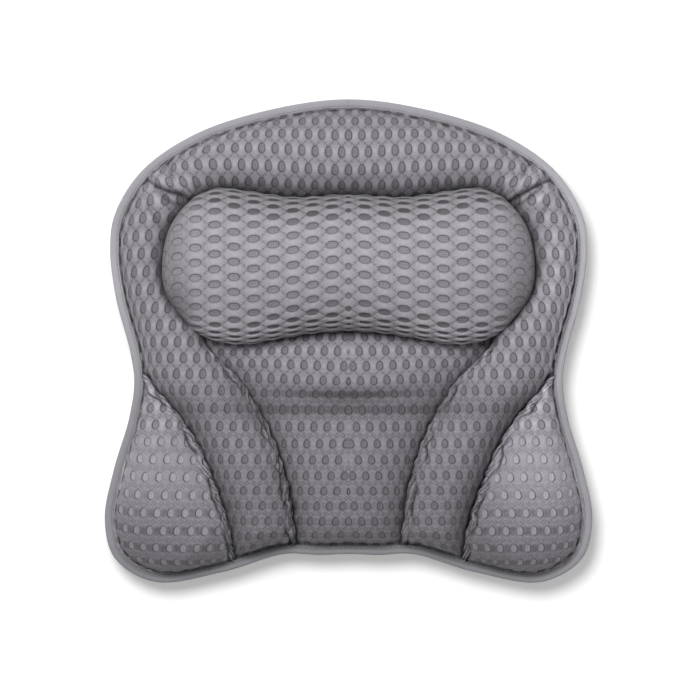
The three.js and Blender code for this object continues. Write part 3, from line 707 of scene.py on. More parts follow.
def wander(grid):
    """How far a seam strays sideways at the points of a grid, the same for both of its pads."""
    x, y = np.abs(grid[..., 0]), grid[..., 1]
    stray = waves(y, (0.55, 2.9, x / 7), (0.4, 5.3, 2.0 - x / 4), (0.25, 1.4, x / 3))
    return np.sign(grid[..., 0]) * stray * ramp(-172, -160, y) * (1 - ramp(-36, -24, y))


def sewn_flat(z, d):
    """Heights held down close to the binding."""
    return z - (1 - ramp(1.4, 4.4, d)) * np.maximum(z - HEM_TOP - 0.35, 0)


def creases(plan, lines):
    """Sum of soft grooves along straight lines: (x0, y0, x1, y1, width, depth)."""
    total = np.zeros(plan.shape[:-1])
    bent = np.sin(plan[..., 0] / 6.3) + 0.7 * np.sin(plan[..., 1] / 4.1 + 1.0)
    plan = plan + 1.1 * bent[..., None]
    for x0, y0, x1, y1, width, depth in lines:
        a = np.array([x0, y0])
        d = np.array([x1, y1]) - a
        along = np.clip(((plan - a) @ d) / (d @ d), 0, 1)
        away = np.linalg.norm(plan - a - along[..., None] * d, axis=-1)
        ends = np.sin(np.pi * np.clip(along, 0.06, 0.94)) ** 0.4
        total += depth * np.exp(-np.abs(away / width) ** 1.6) * ends
    return total


# Materials

def linear(r, g, b):
    """A colour from its sRGB values, 0 to 255."""
    shares = [c / 255 for c in (r, g, b)]
    return *(c / 12.92 if c <= 0.04045 else ((c + 0.055) / 1.055) ** 2.4 for c in shares), 1


class Term:
    """A value in a node tree that plain arithmetic can be done with."""

    def __init__(self, tree, socket):
        self.tree = tree
        self.socket = socket

    def math(self, operation, *others):
        node = self.tree.nodes.new("ShaderNodeMath")
        node.operation = operation
        for i, value in enumerate((self, *others)):
            if isinstance(value, Term):
                self.tree.links.new(value.socket, node.inputs[i])
            else:
                node.inputs[i].default_value = value
        return Term(self.tree, node.outputs[0])

    def __add__(self, other):
        return self.math("ADD", other)

    def __sub__(self, other):
        return self.math("SUBTRACT", other)

    def __mul__(self, other):
        return self.math("MULTIPLY", other)

    def __truediv__(self, other):
        return self.math("DIVIDE", other)

    def __pow__(self, other):
        return self.math("POWER", other)

    def absolute(self):
        return self.math("ABSOLUTE")

    def rest(self):
        """1 minus the value."""
        return self * -1.0 + 1.0

    def wave(self, period):
        return (self * (2 * math.pi / period)).math("SINE")

    def crest(self, period):
        return (self * (2 * math.pi / period)).math("COSINE")

    def bell(self, centre, width):
        """1 where the value is at the centre, falling to 0 about a width away."""
        off = (self - centre) / width
        return ((off * off) * -1.0).math("EXPONENT")

    def step(self, a, b):
        """A smooth step from 0 at a to 1 at b."""
        node = self.tree.nodes.new("ShaderNodeMapRange")
        node.interpolation_type = "SMOOTHSTEP"
        self.tree.links.new(self.socket, node.inputs["Value"])
        node.inputs["From Min"].default_value = a
        node.inputs["From Max"].default_value = b
        return Term(self.tree, node.outputs["Result"])


def start_material(name, **inputs):
    """A new material; inputs are its shader's inputs, with _ for a space."""
    material = bpy.data.materials.new(name)
    material.use_nodes = True
    tree = material.node_tree
    shader = tree.nodes["Principled BSDF"]
    for key, value in inputs.items():
        shader.inputs[key.replace("_", " ")].default_value = value
    return material, tree, shader


def attribute_axes(tree, name):
    node = tree.nodes.new("ShaderNodeAttribute")
    node.attribute_name = name
    split = tree.nodes.new("ShaderNodeSeparateXYZ")
    tree.links.new(node.outputs["Vector"], split.inputs[0])
    return node.outputs["Vector"], [Term(tree, split.outputs[k]) for k in range(3)]


def noise(tree, vector, scale, detail):
    node = tree.nodes.new("ShaderNodeTexNoise")
    tree.links.new(vector, node.inputs["Vector"])
    node.inputs["Scale"].default_value = scale
    node.inputs["Detail"].default_value = detail
    return Term(tree, node.outputs["Fac"])


def tinted(tree, shader, colour, factor):
    """Sets the shader's colour to a base colour times a factor."""
    node = tree.nodes.new("ShaderNodeMix")
    node.data_type = "RGBA"
    node.blend_type = "MULTIPLY"
    node.inputs["Factor"].default_value = 1.0
    node.inputs["A"].default_value = colour
    combine = tree.nodes.new("ShaderNodeCombineXYZ")
    for k in range(3):
        tree.links.new(factor.socket, combine.inputs[k])
    tree.links.new(combine.outputs[0], node.inputs["B"])
    tree.links.new(node.outputs["Result"], shader.inputs["Base Color"])


def bumped(tree, shader, height, distance):
    """Bumps the shader by a height, where 1 is the distance in millimetres."""
    node = tree.nodes.new("ShaderNodeBump")
    node.inputs["Distance"].default_value = distance * MM
    tree.links.new(height.socket, node.inputs["Height"])
    tree.links.new(node.outputs["Normal"], shader.inputs["Normal"])


def mesh_cloth(name, colour, contrast=1.0, egg=0.0):
    """Knitted spacer mesh: staggered oval holes joined by hatched lines, on a fine knit.

    The mood attribute's x makes the holes pale with painted light, its y paints shade on the cloth between
    them, and its z paints shade in the holes, each from 0 to 1. The weave attribute's z is painted shade and
    light.
    """
    material, tree, shader = start_material(name, Roughness=0.8, Sheen_Weight=0.1)
    vector, (u, v, shade) = attribute_axes(tree, "weave")
    pale, dark, deep = attribute_axes(tree, "mood")[1]

    # The place within its hole's cell, and the distance from the hole's edge
    row = (v / PITCH_V + 0.5).math("FLOOR")
    a = u / PITCH_U + row.math("FLOORED_MODULO", 2.0) * 0.5
    a = (a - (a + 0.5).math("FLOOR")) * PITCH_U
    right_side = a.step(-1.6, 1.6)
    a = a.absolute()
    b = v - row * PITCH_V
    grain = (a + b.absolute()).wave(2.9)
    b = b * (v.step(SHORTER_FROM, SHORTER_TO) * SHORTER + 1.0)
    narrow = b * egg + 1.0
    b = b.absolute()
    r = ((a * narrow / HOLE_U) ** HOLE_POWER + (b / HOLE_V) ** HOLE_POWER) ** (1 / HOLE_POWER)
    steep_a = a ** (HOLE_POWER - 1) / HOLE_U**HOLE_POWER
    steep_b = b ** (HOLE_POWER - 1) / HOLE_V**HOLE_POWER
    off = (r - 1.0) / (steep_a * steep_a + steep_b * steep_b + 0.004) ** 0.5

    # The holes, darker inside, partly their back layer and partly painted shade; their dark rims, painted
    # shadow that is darker on one side, with a painted highlight line outside; and the swellings between them
    hole = off.step(0.0, -0.25)
    ring = off.bell(0.0, 0.4)
    rim_light = off.bell(0.85, 0.4)
    pillar = (a.crest(PITCH_U).rest() * (b.crest(PITCH_V) + 1.0)) / 4.0
    ring_side = right_side + right_side.rest() * (pale * -0.5 + 0.7)
    value = hole * (pale * 0.62 - deep * 0.52 - 0.25 * contrast) + 1.0
    value = value * (ring * ring_side * (pale * 0.1 - 0.84 * contrast) + 1.0) * (rim_light * 0.14 + 1.0)

    # The hatched lines that join the holes
    line = (a - (b - HOLE_V) * NET_SLOPE).absolute()
    hatched = line.bell(0.0, 1.7) * b.step(3.0, 4.4) * ((a + b).wave(2.9) * 0.5 + 0.5)
    core = line.bell(0.0, 0.36) * b.step(3.7, 4.3)
    dots = (a + b).wave(2.3) * 0.5 + 0.5
    drawn = (dots * deep.rest() + deep) * (pale * -0.8 + 1.0) * (dark * -0.4 + 1.0) * (deep * -0.25 - 0.5)
    value = value * (hatched * (pale * 0.2 - 0.42) * contrast + 1.0) * (core * drawn * contrast + 1.0)
    # Painted highlights on the swellings between the holes
    value = value * (pillar * pillar * pale.rest() * (0.26 * contrast**3) + 1.0)

    # The painted shade of dark squares between low holes, the grain, the net in the holes, and wear, which
    # also makes the painted squares uneven
    worn = noise(tree, vector, 0.42, 1.0).step(0.42, 0.6)
    squares = off.step(-0.3, 1.3) * b.step(5.8, 2.0) * (worn * 0.3 + 0.75)
    twill = grain * worn * b.step(1.8, 4.6) * (dark * 0.09 + 0.1)
    fuzz = noise(tree, vector, 0.75, 1.0) - 0.5
    net = hole * (u + v).wave(2.4) * (u - v).wave(2.4)
    patch = noise(tree, vector, 0.07, 3.0)
    value = value * (squares * dark * -0.62 + 1.0) * (twill * contrast**4 + 1.0)
    # shade: the painted shade and light worked out for each point of the cloth
    value = value * (fuzz * 0.4 + 1.0) * (net * 0.2 + 1.0) * (patch * 0.14 + 0.98) * shade
    tinted(tree, shader, colour, value)
    knit = u.wave(0.8) * v.wave(0.95)
    bumped(tree, shader, knit * 0.25 + twill * 2.0 - hatched + net * 0.7 - ring * 0.8, 0.2)
    return material


def tape_cloth(name, colour, pitch_u, pitch_v):
    """Woven tape with its threads at the given pitches."""
    material, tree, shader = start_material(name, Roughness=0.8, Sheen_Weight=0.1)
    vector, (u, v, shade) = attribute_axes(tree, "weave")
    grain = u.wave(pitch_u) * v.wave(pitch_v)
    patch = noise(tree, vector, 0.09, 3.0)
    tinted(tree, shader, colour, (grain * 0.035 + 1.0) * (patch * 0.1 + 0.95) * shade)
    bumped(tree, shader, grain, 0.1)
    return material


def thread(name, colour):
    material, tree, shader = start_material(name, Roughness=0.7)
    u, v, _ = attribute_axes(tree, "weave")[1]
    twist = (u + v * 0.6).wave(0.5)
    tinted(tree, shader, colour, twist * 0.12 + 0.95)
    bumped(tree, shader, twist, 0.08)
    return material


def clear_vinyl(name):
    material, tree, shader = start_material(
        name, Roughness=0.16, Transmission_Weight=0.72, IOR=1.47, Specular_IOR_Level=0.6)
    coords = tree.nodes.new("ShaderNodeTexCoord")
    cloud = noise(tree, coords.outputs["Object"], 55.0, 4.0)
    tinted(tree, shader, (0.80, 0.86, 0.88, 1), cloud * 0.12 + 0.92)
    bumped(tree, shader, cloud, 0.2)
    return material


cover_cloth = mesh_cloth("spacer_mesh", linear(137, 133, 140), 1.0, EGG)
bolster_cloth = mesh_cloth("spacer_mesh_bolster", linear(146, 143, 149), 0.85)
tape = tape_cloth("binding_tape", linear(170, 168, 174), 0.55, 0.8)
webbing = tape_cloth("webbing", linear(128, 124, 131), 1.1, 1.6)
sewing_thread = thread("sewing_thread", linear(150, 147, 154))
vinyl = clear_vinyl("clear_vinyl")


# How the cloth lies, and its painted shade and light. The lamp stands to the left, and side_tone paints light
# on the right to make up for it.

def base_cloth_coords(weave):
    """The base's cloth is drawn in a little lower down, sags in the middle and fans out to both sides."""
    x, y = xy(weave)
    sag = 5.0 * bell(x, 55) * ramp(-62, -10, y)
    drift = 5.3 - 8.9 * ramp(80, -18, y) + 0.055 * np.minimum(0, y + 18.7)
    corner = bell(np.abs(x) - 128, 26) * bell(y - 128, 26)
    drift = drift - 0.38 * (y - 128) * corner
    y = y + 4.4 * ramp(-30, -85, y) * (1 - 0.5 * ramp(-100, -150, y))
    return np.stack([np.abs(x) + drift, y + 0.12 * np.minimum(0, y - 10) + sag + 17.0], -1)


def wing_cloth_coords(weave):
    """The shoulders' cloth lies at its own pitch, and is drawn in only at the bottom."""
    x, y = np.abs(weave[..., 0]), weave[..., 1]
    return np.stack([0.955 * x + 0.055 * y, y + 0.12 * np.minimum(y, -165) + 14.0], -1)


# Painted light on the right and a little painted shade on the left, to even out the lamp on the left
def side_tone(x):
    return 1 + 0.05 * x / 195 + 0.26 * ramp(110, 185, x)


def base_tone(x, y):
    """Painted shade: darker lower down, most along the two grooves, at the top by the binding and at the
    bottom; and painted light by the right hem, where the lamp's shadow falls.
    """
    band = 1 - 0.1 * ramp(-15, -60, y)
    top = 1 - 0.14 * ramp(158, 182, y)
    bottom = 1 - 0.15 * ramp(-75, -150, y)
    far = 1 + 0.25 * ramp(142, 176, x) * bell(y - 38, 45)
    by_hem = (x > 0) * bell(hem_x(y) - x, 4.0)
    far = far + by_hem * ramp(-50, -20, y) * (1 - ramp(95, 125, y))
    return side_tone(x) * top * band * (1 - 0.41 * channel(x, y, 1.0)) * bottom * far


def centre_tone(x, y):
    """Also painted shade just below the bolster, where it casts a shadow, turning to painted light towards
    the bands, where the corners by the bolster lie in shadow.
    """
    below = edge_y(rim, x, False) - y
    dim = 0.55 - 1.1 * ramp(35, 105, np.abs(x))
    return base_tone(x, y) * (1 - dim * bell(np.maximum(below, 0), 7))


# Painted light at the top and painted shade towards the bottom, and painted shade on the right wing's inner
# part, which faces the lamp; side_tone adds painted light on the right
def wing_tone(x, y):
    lit = ramp(140, 95, x) * (x > 0)
    return side_tone(x) * (1.13 - 0.4 * ramp(-95, -175, y)) * (1 - 0.2 * lit)


# Painted shade on the cloth between the holes, along the grooves and lower down
def base_mood(x, y):
    dark = channel(x, y, 0.9) + 0.32 * ramp(10, -50, y) + 0.42 * ramp(-85, -140, y)
    return 0 * x, np.clip(dark, 0, 1), 0 * x


# Pale holes with painted light from partway down, and painted shade between the holes near the bottom
def wing_mood(x, y):
    return ramp(-60, -95, y), ramp(-98, -148, y), 0 * x


def as_rows(values, count):
    return np.reshape(np.broadcast_to(values, count), (-1, 1))


def finished(grid, weave, edges, lines, tone, mood, coords):
    """Adds a dense pad's edges, creases and cloth relief, and works out its painted shade and light.

    Each of edges is (side, kind, seed, rows), where side is 0 or 1 for a long edge and 2 or 3 for an
    end, and rows is how much of it each row has.
    """
    plan = grid[..., :2]
    down = [distance.T for distance in edge_distance(np.swapaxes(plan, 0, 1))]
    away = (*edge_distance(plan), *down)
    seams = (grid[:, 0], grid[:, -1], grid[0], grid[-1])
    for side, kind, seed, rows in edges:
        rows = as_rows(rows, len(grid))
        if kind in (hem_edge, bottom_hem_edge):
            grid[..., 2] += rows * (sewn_flat(grid[..., 2], away[side]) - grid[..., 2])
        elif kind is not rim_edge:
            grid[..., 0] += rows * wander(grid) * bell(away[side], 5.0)
    up = normals(grid)
    push = np.zeros(grid.shape[:2])
    shade = np.ones(grid.shape[:2])
    for side, kind, seed, rows in edges:
        rows = as_rows(rows, len(grid))
        seam = seams[side]
        values = (lengths(seam), ramp(-40, -120, seam[:, 1]))
        along, low = (np.expand_dims(v, int(side < 2)) for v in values)
        move, dim = kind(away[side], along, seed, low)
        push += rows * move
        # Painted shade and light along the edges
        shade *= np.maximum(1 - rows * dim, 0.1)
    groove = creases(plan, lines)
    push -= groove
    # Painted shade in the creases and painted light on the ridges between them
    shade *= 1 - 0.68 * np.clip(groove / 2.6, -0.3, 1.3)
    weave = coords(weave)
    quiet = ramp(0, 5.0, np.minimum(*away[:2]))
    push += 0.5 * weave_relief(*xy(weave), EGG) * (0.4 + 0.6 * quiet)
    # Painted light and shade by place
    shade *= tone(*xy(plan))
    return grid + up * push[..., None], with_third(weave, shade), np.stack(mood(*xy(plan)), -1)


def dense_pad(name, pad, shape, density, edges, tone, mood, lines=(), coords=base_cloth_coords, side=1):
    """A pad's visible cover; side is -1 for the mirrored one."""
    turn = np.array([side, 1.0, 1.0])
    grid = fine(shape * turn, *density)
    weave = fine(pad.weave * turn[:2], *density)
    return closed_pad(name, *finished(grid, weave, edges, lines, tone, mood, coords))


def resampled(values, count):
    return np.interp(np.linspace(0, len(values) - 1, count), np.arange(len(values)), values)


def dense_arch(pad, shape):
    (inner_x, inner_y), (outer_x, outer_y) = (
        [resampled(column, ARCH_DENSITY[0]) for column in edge.T] for edge in (pad.first, pad.second))
    over = ramp(2, 10, -inner_y)
    under = ramp(28, 36, -outer_y)
    # How strongly the painted shade beside the bolster and along the seams lies on each row
    rim_rows = (1 - over) * (0.6 + 0.58 * ramp(0, 18, inner_y) - 0.14 * ramp(60, 112, inner_y))
    rim_rows = rim_rows * (1 + 0.15 * ramp(100, 140, inner_x))
    edges = (
        (0, over_edge, 1, over),
        (0, rim_edge, 0, rim_rows),
        (1, hem_edge, 2, (1 - under) * (0.75 + 0.4 * ramp(130, 70, outer_y))),
        (1, under_edge, 9, under * (1 - 0.35 * (outer_x > 0))),
        (2, bottom_hem_edge, 13, 1),
        (3, bottom_hem_edge, 14, 1),
    )
    left = [(-x0, y0, -x1, *rest) for x0, y0, x1, *rest in CORNER_FOLDS]
    return dense_pad("arch_pad", pad, shape, ARCH_DENSITY, edges, base_tone, base_mood, left + CORNER_FOLDS)


def dense_centre(pad, shape):
    rows = 1 - 0.55 * ramp(-35, -8, resampled(pad.first[:, 1], CENTRE_DENSITY[0]))
    edges = ((0, under_edge, 3, rows), (1, under_edge, 4, 0.85 * rows), (2, bottom_hem_edge, 15, 1))
    return dense_pad("centre_pad", pad, shape, CENTRE_DENSITY, edges, centre_tone, base_mood)


def dense_shoulder(pad, shape, name, side, seed):
    edges = ((0, over_edge, seed, 1), (1, hem_edge, seed + 1, 1))
    return dense_pad(f"shoulder_pad_{name}", pad, shape, SHOULDER_DENSITY, edges, wing_tone, wing_mood,
                     (), wing_cloth_coords, side)


# Neck bolster

def bolster_surface(rows, columns):
    """Loops round the bolster, from its left tip to its right one."""
    angle = np.linspace(-math.pi / 2, math.pi / 2, rows)[:, None]
    x = BOLSTER_LENGTH / 2 * np.sin(angle)
    upper, lower = bolster_edges(x)
    end = np.sqrt(np.maximum(0, 1 - np.abs(np.sin(angle)) ** 4.2))
    turn = np.linspace(0, 2 * math.pi, columns + 1)[None, :-1]
    top = (BOLSTER_TOP - BOLSTER_BELLY) - 5.0 * np.cos(angle) ** 4
    under = BOLSTER_BELLY - BOLSTER_BOTTOM
    across, up = np.cos(turn), np.sin(turn)
    y = (upper + lower) / 2 + across * (upper - lower) / 2
    high = top * end * np.maximum(up, 0) ** (0.9 - 0.04 * across)
    low = under * np.minimum(1, 1.5 * end) * np.maximum(-1, 1.5 * np.minimum(up, 0))
    z = BOLSTER_BELLY + np.where(up > 0, high, low)
    return np.stack(np.broadcast_arrays(x, y, z), -1)


def bolster_weave(grid):
    """Cloth coordinates: arc length round the bolster from its crown line, and out from its middle.

    The cloth is gathered along both sides. How much, from 0 to 1, is returned too.
    """
    top = grid.shape[1] // 4
    step = np.linalg.norm(np.roll(grid, -1, 1) - grid, axis=2)
    around = np.cumsum(step, 1) - step
    around -= around[:, top:top + 1]
    along = lengths(grid[:, top])
    along = along - np.interp(0, grid[:, top, 0], along)
    out = np.abs(0.3 * along[:, None] + 0.7 * grid[..., 0])
    bow = 8.6 - 8.0 * (np.abs(grid[:, top, 0]) / 120) ** 1.4
    x, y = xy(grid)
    upper, lower = bolster_edges(x)
    above = y > (upper + lower) / 2
    from_edge = np.where(above, upper - y, y - lower) * (grid[..., 2] > BOLSTER_BELLY)
    gathered = bell(from_edge, 7.5) * (1 - ramp(100, 135, np.abs(x)))
    u = (-around - bow[:, None]) / 1.13 + gathered * np.where(above, 4.5, -8.0)
    return np.stack([u, out / 1.085 + 2.4], -1), gathered


def dense_bolster():
    grid = bolster_surface(*BOLSTER_DENSITY)
    weave, gathered = bolster_weave(grid)
    around = np.roll(grid, -1, 1) - np.roll(grid, 1, 1)
    up = -unit(np.cross(np.gradient(grid, axis=0), around))
    up_y = up[..., 1]
    tip = BOLSTER_LENGTH / 2 - np.abs(grid[..., 0])
    low_side = np.clip((BOLSTER_BELLY - grid[..., 2]) / 8, 0, 1)
    tilted = ramp(0.3, 0.78, np.abs(up_y)) * ramp(8, 40, tip)
    relief = weave_relief(*xy(weave)) * (0.3 + 0.7 * ramp(4, 34, tip)) * ramp(0, 6, tip)
    grid = grid + up * ((0.4 + 0.6 * tilted) * relief * (1 - low_side))[..., None]
    x = grid[..., 0]
    side_wall = ramp(112, 132, np.abs(x)) * ramp(0.05, 0.5, -up_y)
    lobe = ramp(30, 70, np.abs(x)) * (1 - ramp(120, 142, np.abs(x)))
    # Painted shade on the underside, at the tips, on the side towards the head end, on the lower side of the
    # ends (less on the right) and in the holes where rows crowd or gather; painted light on the lower side,
    # most on the lobes, and by side_tone on the right; near the tips, painted light in the holes and painted
    # shade between them
    shade = (1 - 0.42 * low_side - 0.2 * (1 - ramp(2, 30, tip))) * (1 - 0.06 * tilted)
    shade = shade * (1 - 0.2 * ramp(0.35, 0.9, up_y)) * (1 - 0.28 * side_wall * (1 - 0.5 * (x > 0)))
    shade = shade * (1 + (0.15 + 0.35 * lobe) * ramp(0.35, 0.9, -up_y)) * side_tone(x)
    pale, dark = 0.5 * (1 - ramp(5, 48, tip)), 0.45 * (1 - ramp(8, 30, tip))
    mood = np.stack([pale, dark, np.maximum(tilted, gathered)], -1)
    faces = grid_faces(*BOLSTER_DENSITY, True, False, True)
    return new_object("neck_bolster", grid, faces, bolster_cloth, weave=with_third(weave, shade), mood=mood)


# Seat, back panel, binding and stitches

BACK_INSET = 2.4
BACK_RELIEF = 0.45
BACK_RINGS = 100
SEAT_RINGS = 40
STITCH_INSET = 5.6
STITCH_Z = 25.6
STITCH_PITCH = 4.0
STITCH_SIZE = (2.9, 0.3)  # length and radius
# Places along a stitch as shares of its length, and how thick it is there as shares of its radius
STITCH_RINGS = np.array([(-0.5, 0.25), (-0.42, 0.75), (-0.25, 1.0), (0.25, 1.0), (0.42, 0.75), (0.5, 0.25)])
TAPE_MIDDLE = 22.75
# The tape's upper lip from its inner edge to the middle of its outer one: (inset, z)
TAPE_LIP = [
    (6.85, 24.75), (6.95, 25.25), (6.7, 25.7), (6.3, 25.85), (5.95, 25.8), (5.6, 25.5), (5.25, 25.78),
    (4.6, 25.98), (3.4, 26.08), (2.2, 26.05), (1.1, 25.8), (0.45, 25.2), (0.1, 24.2),
]
TAPE_INSIDE = [(1.7, 20.8), (1.3, TAPE_MIDDLE), (1.7, 24.7)]


def disc_piece(name, loop, bottom, top, rings, relief=0.0):
    """A flat layer of mesh cloth inside a loop of points: rings drawn in to the middle, on both faces."""
    m, count = len(loop), rings * len(loop)
    middle = loop.mean(0)
    shares = np.linspace(1, 0, rings + 1)[:-1, None, None]
    plan = (middle + (loop - middle) * shares).reshape(-1, 2)
    push = relief * weave_relief(*xy(plan))
    heights = np.concatenate([top + push, bottom - push, [top, bottom]])
    plan = np.concatenate([plan, plan, [middle, middle]])
    outer = np.arange(m)
    inner = outer + count - m
    faces = both_sides(grid_faces(rings, m, False, False, True), count) + walls(outer, outer + count, True)
    faces += fan(inner, 2 * count, True) + fan(inner + count, 2 * count + 1)
    return new_object(name, with_third(plan, heights), faces, cover_cloth, weave=with_third(plan, 1.0))


def back_cloth():
    loop = inset(outline, BACK_INSET)[::2]
    return disc_piece("back_cloth", loop, BACK_BOTTOM, BACK_TOP, BACK_RINGS, BACK_RELIEF)


def seat():
    angles = np.linspace(-math.pi / 2, math.pi / 2, 91)
    x = BOLSTER_LENGTH / 2 * np.sin(angles)
    upper, lower = bolster_edges(x)
    front = np.stack([x, np.maximum(lower, tuck_y(x))], 1)
    loop = np.concatenate([np.stack([x, upper], 1), front[1:-1][::-1]])
    return disc_piece("bolster_seat", loop, BASE_BOTTOM, SEAT_TOP, SEAT_RINGS)


def binding(loop):
    """The folded tape round the outline: two lips with a stitched groove, and a rounded outer edge."""
    turned_lip = [(depth, 2 * TAPE_MIDDLE - z) for depth, z in TAPE_LIP][::-1]
    profile = np.array(TAPE_LIP + [(0.0, TAPE_MIDDLE)] + turned_lip + TAPE_INSIDE)
    depths, heights = profile.T
    reach = lengths(joined(loop))
    p = phases(11, 8)
    turns = reach[:-1] / reach[-1] * 2 * np.pi
    wave = sum(np.sin(k * turns + p[i]) for i, k in enumerate((29, 47, 71, 113))) / 4
    loose = 0.35 * wave[:, None] * np.clip(depths / 6, 0, 1)
    ways = inward(loop)
    plan = loop[:, None] + ways[:, None] * (depths + 0.6 * loose)[..., None]
    points = with_third(plan, heights + 0.7 * loose)
    # Painted shade in the stitched groove and at the outer fold, lighter near the top, darker lower down and
    # on the inner half of the bottom edges; painted light towards the right, where the lamp on the left
    # leaves it darker
    groove = 0.18 * bell(depths - STITCH_INSET, 0.35) + 0.12 * (depths < 0.3)
    x, y = loop.T
    tone = 1 + 0.16 * bell(y - 52, 42) - 0.2 * ramp(0, -62, y) - 0.08 * ramp(-150, -185, y)
    tone = tone * (1 + 0.26 * ramp(90, 185, x))
    turned = ramp(0.5, 0.9, ways[:, 1])[:, None] * ramp(2.8, 4.4, depths)
    shade = (1 - groove) * tone[:, None] * (1 - 0.36 * turned)
    weave = np.stack(np.broadcast_arrays(reach[:-1, None], lengths(profile), shade), -1)
    faces = grid_faces(len(loop), len(profile), False, True, True)
    return new_object("edge_tape", points, faces, tape, weave=weave)


def stitches(name, places, directions, length, radius, sides=8):
    """Short thread stitches: small capsules along the given level directions."""
    along = STITCH_RINGS[:, :1] * length
    angle = 2 * math.pi * np.arange(sides) / sides
    ahead = (directions / np.linalg.norm(directions, axis=1, keepdims=True))[:, None, None]
    side = np.cross(ahead, [0, 0, 1.0])
    off = np.cos(angle)[:, None] * side + np.sin(angle)[:, None] * np.cross(side, ahead)
    points = places[:, None, None] + ahead * along[..., None] + radius * STITCH_RINGS[:, 1, None, None] * off
    weave = np.stack(np.broadcast_arrays(along, angle * radius, 1.0), -1)
    weave = np.broadcast_to(weave, points.shape)
    size = len(STITCH_RINGS) * sides
    one = grid_faces(len(STITCH_RINGS), sides, False, False, True)
    one += [list(range(sides)), list(range(size - 1, size - sides - 1, -1))]
    faces = [face for start in range(0, len(places) * size, size) for face in moved_faces(one, start)]
    return new_object(name, points, faces, sewing_thread, weave=weave)


def binding_stitches():
    loop = joined(inset(outline, STITCH_INSET))
    count = int(lengths(loop)[-1] / STITCH_PITCH)
    spots = at_shares(loop, np.arange(count) / count)
    ways = tangents(spots, True)
    return stitches("binding_stitches", with_third(spots, STITCH_Z), with_third(ways, 0.0), *STITCH_SIZE)


# Suction cups and webbing tabs

CUP_SIDES = 72
CUP_HOLLOW = [(0.01, 6.6), (8, 6.1), (16, 4.4), (22, 1.9), (25.8, 0.15)]
CUP_LIP = [(26.4, 0.0), (28.7, 0.0), (29.0, 0.25), (29.0, 1.1), (28.6, 1.5)]
CUP_DOME = [
    (28.0, 1.7), (24, 3.1), (17, 6.6), (11, 9.4), (7.4, 11.6), (5.7, 13.3), (5.5, 14.5), (5.5, 16.0),
]
CUP_HEAD = [(5.7, 16.55), (8.0, 16.8), (8.5, 17.8), (8.2, 19.0), (6.4, 19.9), (3.0, 20.15), (0.01, 20.2)]
cup_profile = np.concatenate([
    catmull(CUP_HOLLOW, False, 24), CUP_LIP, catmull(CUP_DOME, False, 30), catmull(CUP_HEAD, False, 20)])

TAB_HALF_WIDTH = 13.0
TAB_THICKNESS = 1.5
TAB_LOW = 14.1
TAB_HIGH = 19.2
TAB_SEWN = 27.0  # from the cup's axis to the sewn end
TAB_HOLE = 6.0
# How far from the cup's axis a tab has rows of points
TAB_ROWS = np.concatenate([
    np.linspace(-TAB_HALF_WIDTH, 15, 45), np.linspace(15.6, 26.4, 18), np.linspace(TAB_SEWN, 40, 22)])
BOX_CORNERS = np.array([(-10.5, 29), (10.5, 29), (10.5, 38), (-10.5, 38)])
BOX_RUNS = ((0, 1), (1, 2), (2, 3), (3, 0), (0, 2), (1, 3))
BOX_PITCH = 2.6
BOX_Z = 19.15
BOX_STITCH_SIZE = (1.9, 0.33)  # length and radius


def circle(place, radius, sides):
    angle = np.linspace(0, 2 * math.pi, sides, endpoint=False)
    return place + radius * np.stack([np.cos(angle), np.sin(angle)], 1)


def cup_mesh(place, name):
    """A suction cup: its profile turned about its axis."""
    n, m = len(cup_profile), CUP_SIDES
    z = cup_profile[:, 1]
    plan = np.array([circle(place, reach, m) for reach in cup_profile[:, 0]])
    points = with_third(plan, z[:, None]).reshape(-1, 3)
    tips = [[*place, z[0]], [*place, z[-1]]]
    ring = np.arange(m)
    faces = grid_faces(n, m, True, False, True)
    faces += fan(ring, n * m, True) + fan(ring + (n - 1) * m, n * m + 1)
    return new_object(name, np.concatenate([points, tips]), faces, vinyl)


def tab_mesh(place, name):
    """A webbing tab, from its rounded free end, over the fold, to its sewn end."""
    y = TAB_ROWS
    bend = TAB_LOW + (TAB_HIGH - TAB_LOW) * ramp(12.5, 27.5, y)
    z = np.where(y <= 14.0, TAB_LOW, np.where(y >= TAB_SEWN, TAB_HIGH, bend))[:, None]
    rounded = TAB_HALF_WIDTH * np.sqrt(np.maximum(0, 1 - (y / TAB_HALF_WIDTH) ** 2))
    reach = np.where(y < 0, np.maximum(rounded, 0.6), TAB_HALF_WIDTH)
    x = np.linspace(-1, 1, 41) * reach[:, None]
    plan = place + np.stack(np.broadcast_arrays(x, y[:, None]), -1)
    n, m = x.shape
    points = np.concatenate([with_third(plan, z + TAB_THICKNESS), with_third(plan, z)])
    loop = border(n, m)
    faces = both_sides(grid_faces(n, m, True), n * m) + walls(loop, loop + n * m, True)
    tab = new_object(name, points, faces, webbing)
    cut_round_hole(tab, place)
    plan = np.array([v.co[:2] for v in tab.data.vertices]) / MM
    set_vectors(tab.data, "weave", with_third(plan, 1.0))
    return tab


def cut_round_hole(obj, place, sides=48, bottom=10.0, top=18.0):
    round_line = circle(place, TAB_HOLE, sides)
    points = np.concatenate([with_third(round_line, bottom), with_third(round_line, top)])
    loop = np.arange(sides)
    faces = walls(loop, loop + sides, True) + [loop[::-1].tolist(), (loop + sides).tolist()]
    cutter = new_object("hole", points, faces, webbing, False)
    boolean = obj.modifiers.new("hole", "BOOLEAN")
    boolean.operation = "DIFFERENCE"
    boolean.object = cutter
    made = bpy.data.meshes.new_from_object(obj.evaluated_get(bpy.context.evaluated_depsgraph_get()))
    obj.modifiers.clear()
    obj.data = made
    bpy.data.objects.remove(cutter)


